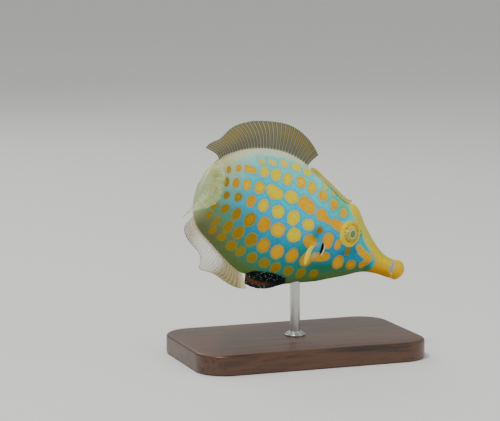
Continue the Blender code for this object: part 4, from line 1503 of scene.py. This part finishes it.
def flap_finish():
    """Black skin with pale green dots, a rusty streak and a dark blue edge."""
    tint = colours()
    paint = Paint("filefish_flap", Roughness=0.55, Specular_IOR_Level=0.25)
    out, along = paint.number("out"), paint.number("along")
    grain = paint.noise(1200.0, 3.0, 0.6)
    rust = paint.step(out, 0.1, 0.35) * paint.step(out, 0.8, 0.5) * paint.step(along, 0.4, 0.6)
    tone = paint.mix(rust * 0.8, tint.flap_black, srgb(110, 62, 36))
    tone = paint.mix(flap_dots(paint) * (1.0 - rust * 0.8), tone, tint.flap_dot)
    tone = paint.mix(paint.step(out, 0.86, 0.95), tone, srgb(20, 32, 84))
    paint.set("Base Color", tone)
    paint.bump(grain, 0.06 * MM)
    return paint.material


def plinth_piece():
    """Plinth with rounded corners and softened edges."""
    deselect()
    bpy.ops.mesh.primitive_cube_add(size=1.0, location=(0, 0, PLINTH_HEIGHT / 2 * MM))
    plinth = named("stand_plinth")
    plinth.scale = (PLINTH_LENGTH * MM, PLINTH_WIDTH * MM, PLINTH_HEIGHT * MM)
    bpy.ops.object.transform_apply(location=True, rotation=True, scale=True)
    height = read_points(plinth)[:, 2]
    select_parts(plinth, "edges", lambda edge: abs(np.diff(height[list(edge.vertices)])[0]) > MM)
    bpy.ops.mesh.bevel(offset=PLINTH_CORNER * MM, segments=CORNER_SEGMENTS, affect="EDGES")
    bpy.ops.object.mode_set(mode="OBJECT")
    soften(plinth, 60, sizes().plinth_edge, EDGE_SEGMENTS)
    bpy.ops.object.shade_smooth_by_angle(angle=math.radians(35))
    return plinth


def plinth_finish():
    """Dark satin wood, with its grain along the plinth."""
    tint = colours()
    paint = Paint("plinth_wood_grain", Roughness=0.38, Coat_Weight=0.3, Coat_Roughness=0.2)
    grain_place = paint.stretch((1.0, 14.0, 9.0))
    rings = paint.noise(34.0, 5.0, 0.6, grain_place, 0.8)
    pores = paint.noise(260.0, 3.0, 0.7, paint.stretch((1.0, 22.0, 14.0)))
    tone = paint.ramp(rings, (0.3, tint.wood_dark), (0.55, tint.wood_light), (0.75, tint.wood_dark))
    tone = paint.mix(paint.step(pores, 0.56, 0.7) * 0.55, tone, srgb(24, 14, 9))
    paint.set("Base Color", tone)
    paint.set("Roughness", 0.34 + pores * 0.16)
    paint.bump(rings * 0.4 + pores, 0.04 * MM)
    return paint.material


def upright_cylinder(radius, foot, top):
    """Cylinder on the middle of the stand, with its place in its mesh."""
    deselect()
    bpy.ops.mesh.primitive_cylinder_add(
        vertices=ROD_SIDES, radius=radius * MM, depth=top - foot, location=(0, 0, (top + foot) / 2),
    )
    bpy.ops.object.transform_apply(location=True, rotation=True, scale=True)
    return bpy.context.object


def rod_piece():
    """Rod from the plinth into the belly, with a low collar at its foot."""
    foot = PLINTH_HEIGHT * MM
    top = float(place(ROD_U, 0, belly(ROD_U))[2]) + ROD_SINK * MM
    upright_cylinder(ROD_RADIUS, foot, top)
    rod = named("stand_steel_rod")
    pick([rod, collar_piece(foot)])
    bpy.ops.object.join()
    bpy.ops.object.shade_smooth_by_angle(angle=math.radians(35))
    return rod


def select_parts(obj, kind, wanted):
    """Edit mode with only those edges or polygons of a mesh that wanted picks."""
    pick([obj], "EDIT")
    bpy.context.tool_settings.mesh_select_mode = (False, kind == "edges", kind == "polygons")
    bpy.ops.mesh.select_all(action="DESELECT")
    bpy.ops.object.mode_set(mode="OBJECT")
    for part in getattr(obj.data, kind):
        part.select = bool(wanted(part))
    bpy.ops.object.mode_set(mode="EDIT")


def collar_piece(foot):
    """Turned collar, inset and extruded from a disc."""
    collar = upright_cylinder(COLLAR_RADIUS, foot, foot + COLLAR_HEIGHT * MM)
    select_parts(collar, "polygons", lambda face: face.normal.z > 0.9)
    for inset, rise in COLLAR_TURNS:
        bpy.ops.mesh.inset(thickness=inset * MM)
        bpy.ops.mesh.extrude_region_move(TRANSFORM_OT_translate={"value": (0, 0, rise * MM)})
    bpy.ops.object.mode_set(mode="OBJECT")
    soften(collar, 40, COLLAR_EDGE * MM, 3)
    return collar


def rod_finish():
    """Brushed steel."""
    paint = Paint("rod_steel", Roughness=0.28, Metallic=1.0)
    paint.set("Base Color", colours().steel)
    lines = paint.noise(700.0, 2.0, 0.6, paint.stretch((1.0, 1.0, 24.0)))
    paint.set("Roughness", 0.2 + lines * 0.2)
    paint.bump(lines, 0.02 * MM, 0.6)
    return paint.material


# Operators


# Floor and world, where each light stands, its size, and the rim light's share of the fill light's power
WORLD_STRENGTH = 0.5
KEY_PLACE, KEY_SIZE = (-0.3, -0.2, 0.82), 0.22
FILL_PLACE, FILL_SIZE = (0.5, -0.45, 0.3), 0.5
RIM_PLACE, RIM_SIZE, RIM_SHARE = (-0.1, 0.6, 0.5), 0.4, 1.4
FLOOR_RADIUS = 4.0


class FILEFISH_OT_stage(bpy.types.Operator):
    """Add the floor, the lights and the camera of the photograph"""

    bl_idname = "filefish.stage"
    bl_label = "Floor, lights and camera"

    def execute(self, context):
        deselect()
        bpy.ops.mesh.primitive_circle_add(vertices=96, radius=FLOOR_RADIUS, fill_type="NGON")
        floor = named("floor")
        paint = Paint("floor_pale", Roughness=0.75)
        mottle = paint.noise(3.0, 3.0)
        pale = tuple(colours().floor_pale)
        paler = tuple(min(1.0, 1.03 * part) for part in pale)
        paint.set("Base Color", paint.mix(mottle, pale, paler))
        floor.data.materials.append(paint.material)
        world = context.scene.world or bpy.data.worlds.new("studio")
        context.scene.world = world
        world.use_nodes = True
        background = world.node_tree.nodes["Background"]
        background.inputs["Color"].default_value = (*pale, 1.0)
        background.inputs["Strength"].default_value = WORLD_STRENGTH
        self.add_light("key_light", KEY_PLACE, sizes().key_power, KEY_SIZE)
        self.add_light("fill_light", FILL_PLACE, sizes().fill_power, FILL_SIZE)
        self.add_light("rim_light", RIM_PLACE, sizes().fill_power * RIM_SHARE, RIM_SIZE)
        self.add_camera(context)
        return {"FINISHED"}

    def add_light(self, name, where, power, size):
        aim = Vector(VIEW_TARGET) - Vector(where)
        bpy.ops.object.light_add(
            type="AREA", location=where, rotation=aim.to_track_quat("-Z", "Y").to_euler(),
        )
        light = named(name)
        light.data.energy = power
        light.data.size = size

    def add_camera(self, context):
        away = Vector((
            math.sin(VIEW_AZIMUTH) * math.cos(VIEW_ELEVATION),
            -math.cos(VIEW_AZIMUTH) * math.cos(VIEW_ELEVATION),
            math.sin(VIEW_ELEVATION),
        ))
        spot = Vector(VIEW_TARGET) + away * VIEW_DISTANCE
        bpy.ops.object.camera_add(location=spot, rotation=(-away).to_track_quat("-Z", "Y").to_euler())
        camera = named("photo_camera")
        camera.data.sensor_fit = "HORIZONTAL"
        camera.data.sensor_width = SENSOR_MM
        camera.data.lens = FOCAL_PIXELS / FRAME_PIXELS * SENSOR_MM
        context.scene.camera = camera


class FILEFISH_OT_skin(bpy.types.Operator):
    """Add the spotted skin of the whole body"""

    bl_idname = "filefish.skin"
    bl_label = "Skin"

    def execute(self, context):
        skin = skin_piece()
        settle(skin, skin_finish(), "skin", "mouth", "snout", "head", "trunk", "hind_body", "tail_stem")
        return {"FINISHED"}


class FILEFISH_OT_eyes(bpy.types.Operator):
    """Add both eyeballs"""

    bl_idname = "filefish.eyes"
    bl_label = "Eyes"

    def execute(self, context):
        finish = eye_finish()
        settle(eye_piece("eyeball_left", 1), finish, "eye_gold", "eye_left")
        settle(eye_piece("eyeball_right", -1), finish, "eye_gold", "eye_right")
        return {"FINISHED"}


class FILEFISH_OT_median_fins(bpy.types.Operator):
    """Add the dorsal and anal fins"""

    bl_idname = "filefish.median_fins"
    bl_label = "Dorsal and anal fins"

    def execute(self, context):
        tint = colours()
        dorsal = fin_finish(
            "dorsal_membrane", tint.membrane_grey, tint.ray_pale, tint.ray_gold, 0.74, 0.95,
            gaps=0.7, dots=0.9, joints=0.12,
        )
        anal = fin_finish(
            "anal_membrane", srgb(190, 172, 112), srgb(240, 236, 200), srgb(190, 172, 112), 0.3, 0.72,
            margin=0.8, front=1.0, fade=0.22, joints=0.1,
        )
        settle(median_fin("back_fin", DORSAL, back, 1), dorsal, "fin_membrane", "dorsal_fin")
        settle(median_fin("under_fin", ANAL, belly, -1), anal, "fin_membrane", "anal_fin")
        return {"FINISHED"}


class FILEFISH_OT_tail_fin(bpy.types.Operator):
    """Add the caudal fin"""

    bl_idname = "filefish.tail_fin"
    bl_label = "Tail fin"

    def execute(self, context):
        finish = fin_finish(
            "tail_membrane", srgb(184, 200, 124), srgb(206, 220, 156), srgb(200, 204, 124), 0.3, 0.42,
            folds=0.4,
        )
        settle(caudal_fin(), finish, "fin_membrane", "caudal_fin")
        return {"FINISHED"}


class FILEFISH_OT_pectoral_fins(bpy.types.Operator):
    """Add both pectoral fins"""

    bl_idname = "filefish.pectoral_fins"
    bl_label = "Pectoral fins"

    def execute(self, context):
        tint = colours()
        finish = fin_finish(
            "pectoral_membrane", srgb(255, 236, 60), tint.pectoral_yellow, srgb(255, 240, 40), 0.6, 0.92,
            dots=0.8, glow=0.1,
        )
        settle(pectoral_fin("side_fin_left", 1), finish, "fin_membrane", "pectoral_fin_left")
        settle(pectoral_fin("side_fin_right", -1), finish, "fin_membrane", "pectoral_fin_right")
        return {"FINISHED"}


class FILEFISH_OT_spine(bpy.types.Operator):
    """Add the barbed first dorsal spine"""

    bl_idname = "filefish.spine"
    bl_label = "Dorsal spine"

    def execute(self, context):
        settle(spine_piece(), spine_finish(), "spine_tan", "dorsal_spine")
        return {"FINISHED"}


class FILEFISH_OT_flap(bpy.types.Operator):
    """Add the pelvic flap"""

    bl_idname = "filefish.flap"
    bl_label = "Pelvic flap"

    def execute(self, context):
        settle(flap_piece(), flap_finish(), "black_flap", "pelvic_flap")
        return {"FINISHED"}


class FILEFISH_OT_stand(bpy.types.Operator):
    """Add the plinth and the rod that hold the fish"""

    bl_idname = "filefish.stand"
    bl_label = "Stand"

    def execute(self, context):
        settle(plinth_piece(), plinth_finish(), "plinth_wood", "stand_base")
        settle(rod_piece(), rod_finish(), "rod_metal", "stand_rod")
        return {"FINISHED"}


class VIEW3D_PT_filefish(bpy.types.Panel):
    """Operators and settings of the filefish model"""

    bl_idname = "VIEW3D_PT_filefish"
    bl_label = "Harlequin filefish"
    bl_space_type = "VIEW_3D"
    bl_region_type = "UI"
    bl_category = "Filefish"

    def draw(self, context):
        layout = self.layout
        for operator in OPERATORS:
            layout.operator(operator.bl_idname)
        for settings in (context.scene.filefish_sizes, context.scene.filefish_colours):
            column = layout.column()
            for name in settings.bl_rna.properties.keys():
                if name not in ("rna_type", "name"):
                    column.prop(settings, name)


OPERATORS = (
    FILEFISH_OT_stage,
    FILEFISH_OT_skin,
    FILEFISH_OT_eyes,
    FILEFISH_OT_median_fins,
    FILEFISH_OT_tail_fin,
    FILEFISH_OT_pectoral_fins,
    FILEFISH_OT_spine,
    FILEFISH_OT_flap,
    FILEFISH_OT_stand,
)
CLASSES = (FilefishSizes, FilefishColours, *OPERATORS, VIEW3D_PT_filefish)


def register():
    for cls in CLASSES:
        bpy.utils.register_class(cls)
    bpy.types.Scene.filefish_sizes = PointerProperty(type=FilefishSizes)
    bpy.types.Scene.filefish_colours = PointerProperty(type=FilefishColours)


def unregister():
    del bpy.types.Scene.filefish_colours
    del bpy.types.Scene.filefish_sizes
    for cls in reversed(CLASSES):
        bpy.utils.unregister_class(cls)


def main():
    register()
    bpy.ops.filefish.stage()
    bpy.ops.filefish.skin()
    bpy.ops.filefish.eyes()
    bpy.ops.filefish.median_fins()
    bpy.ops.filefish.tail_fin()
    bpy.ops.filefish.pectoral_fins()
    bpy.ops.filefish.spine()
    bpy.ops.filefish.flap()
    bpy.ops.filefish.stand()


if __name__ == "__main__":
    main()
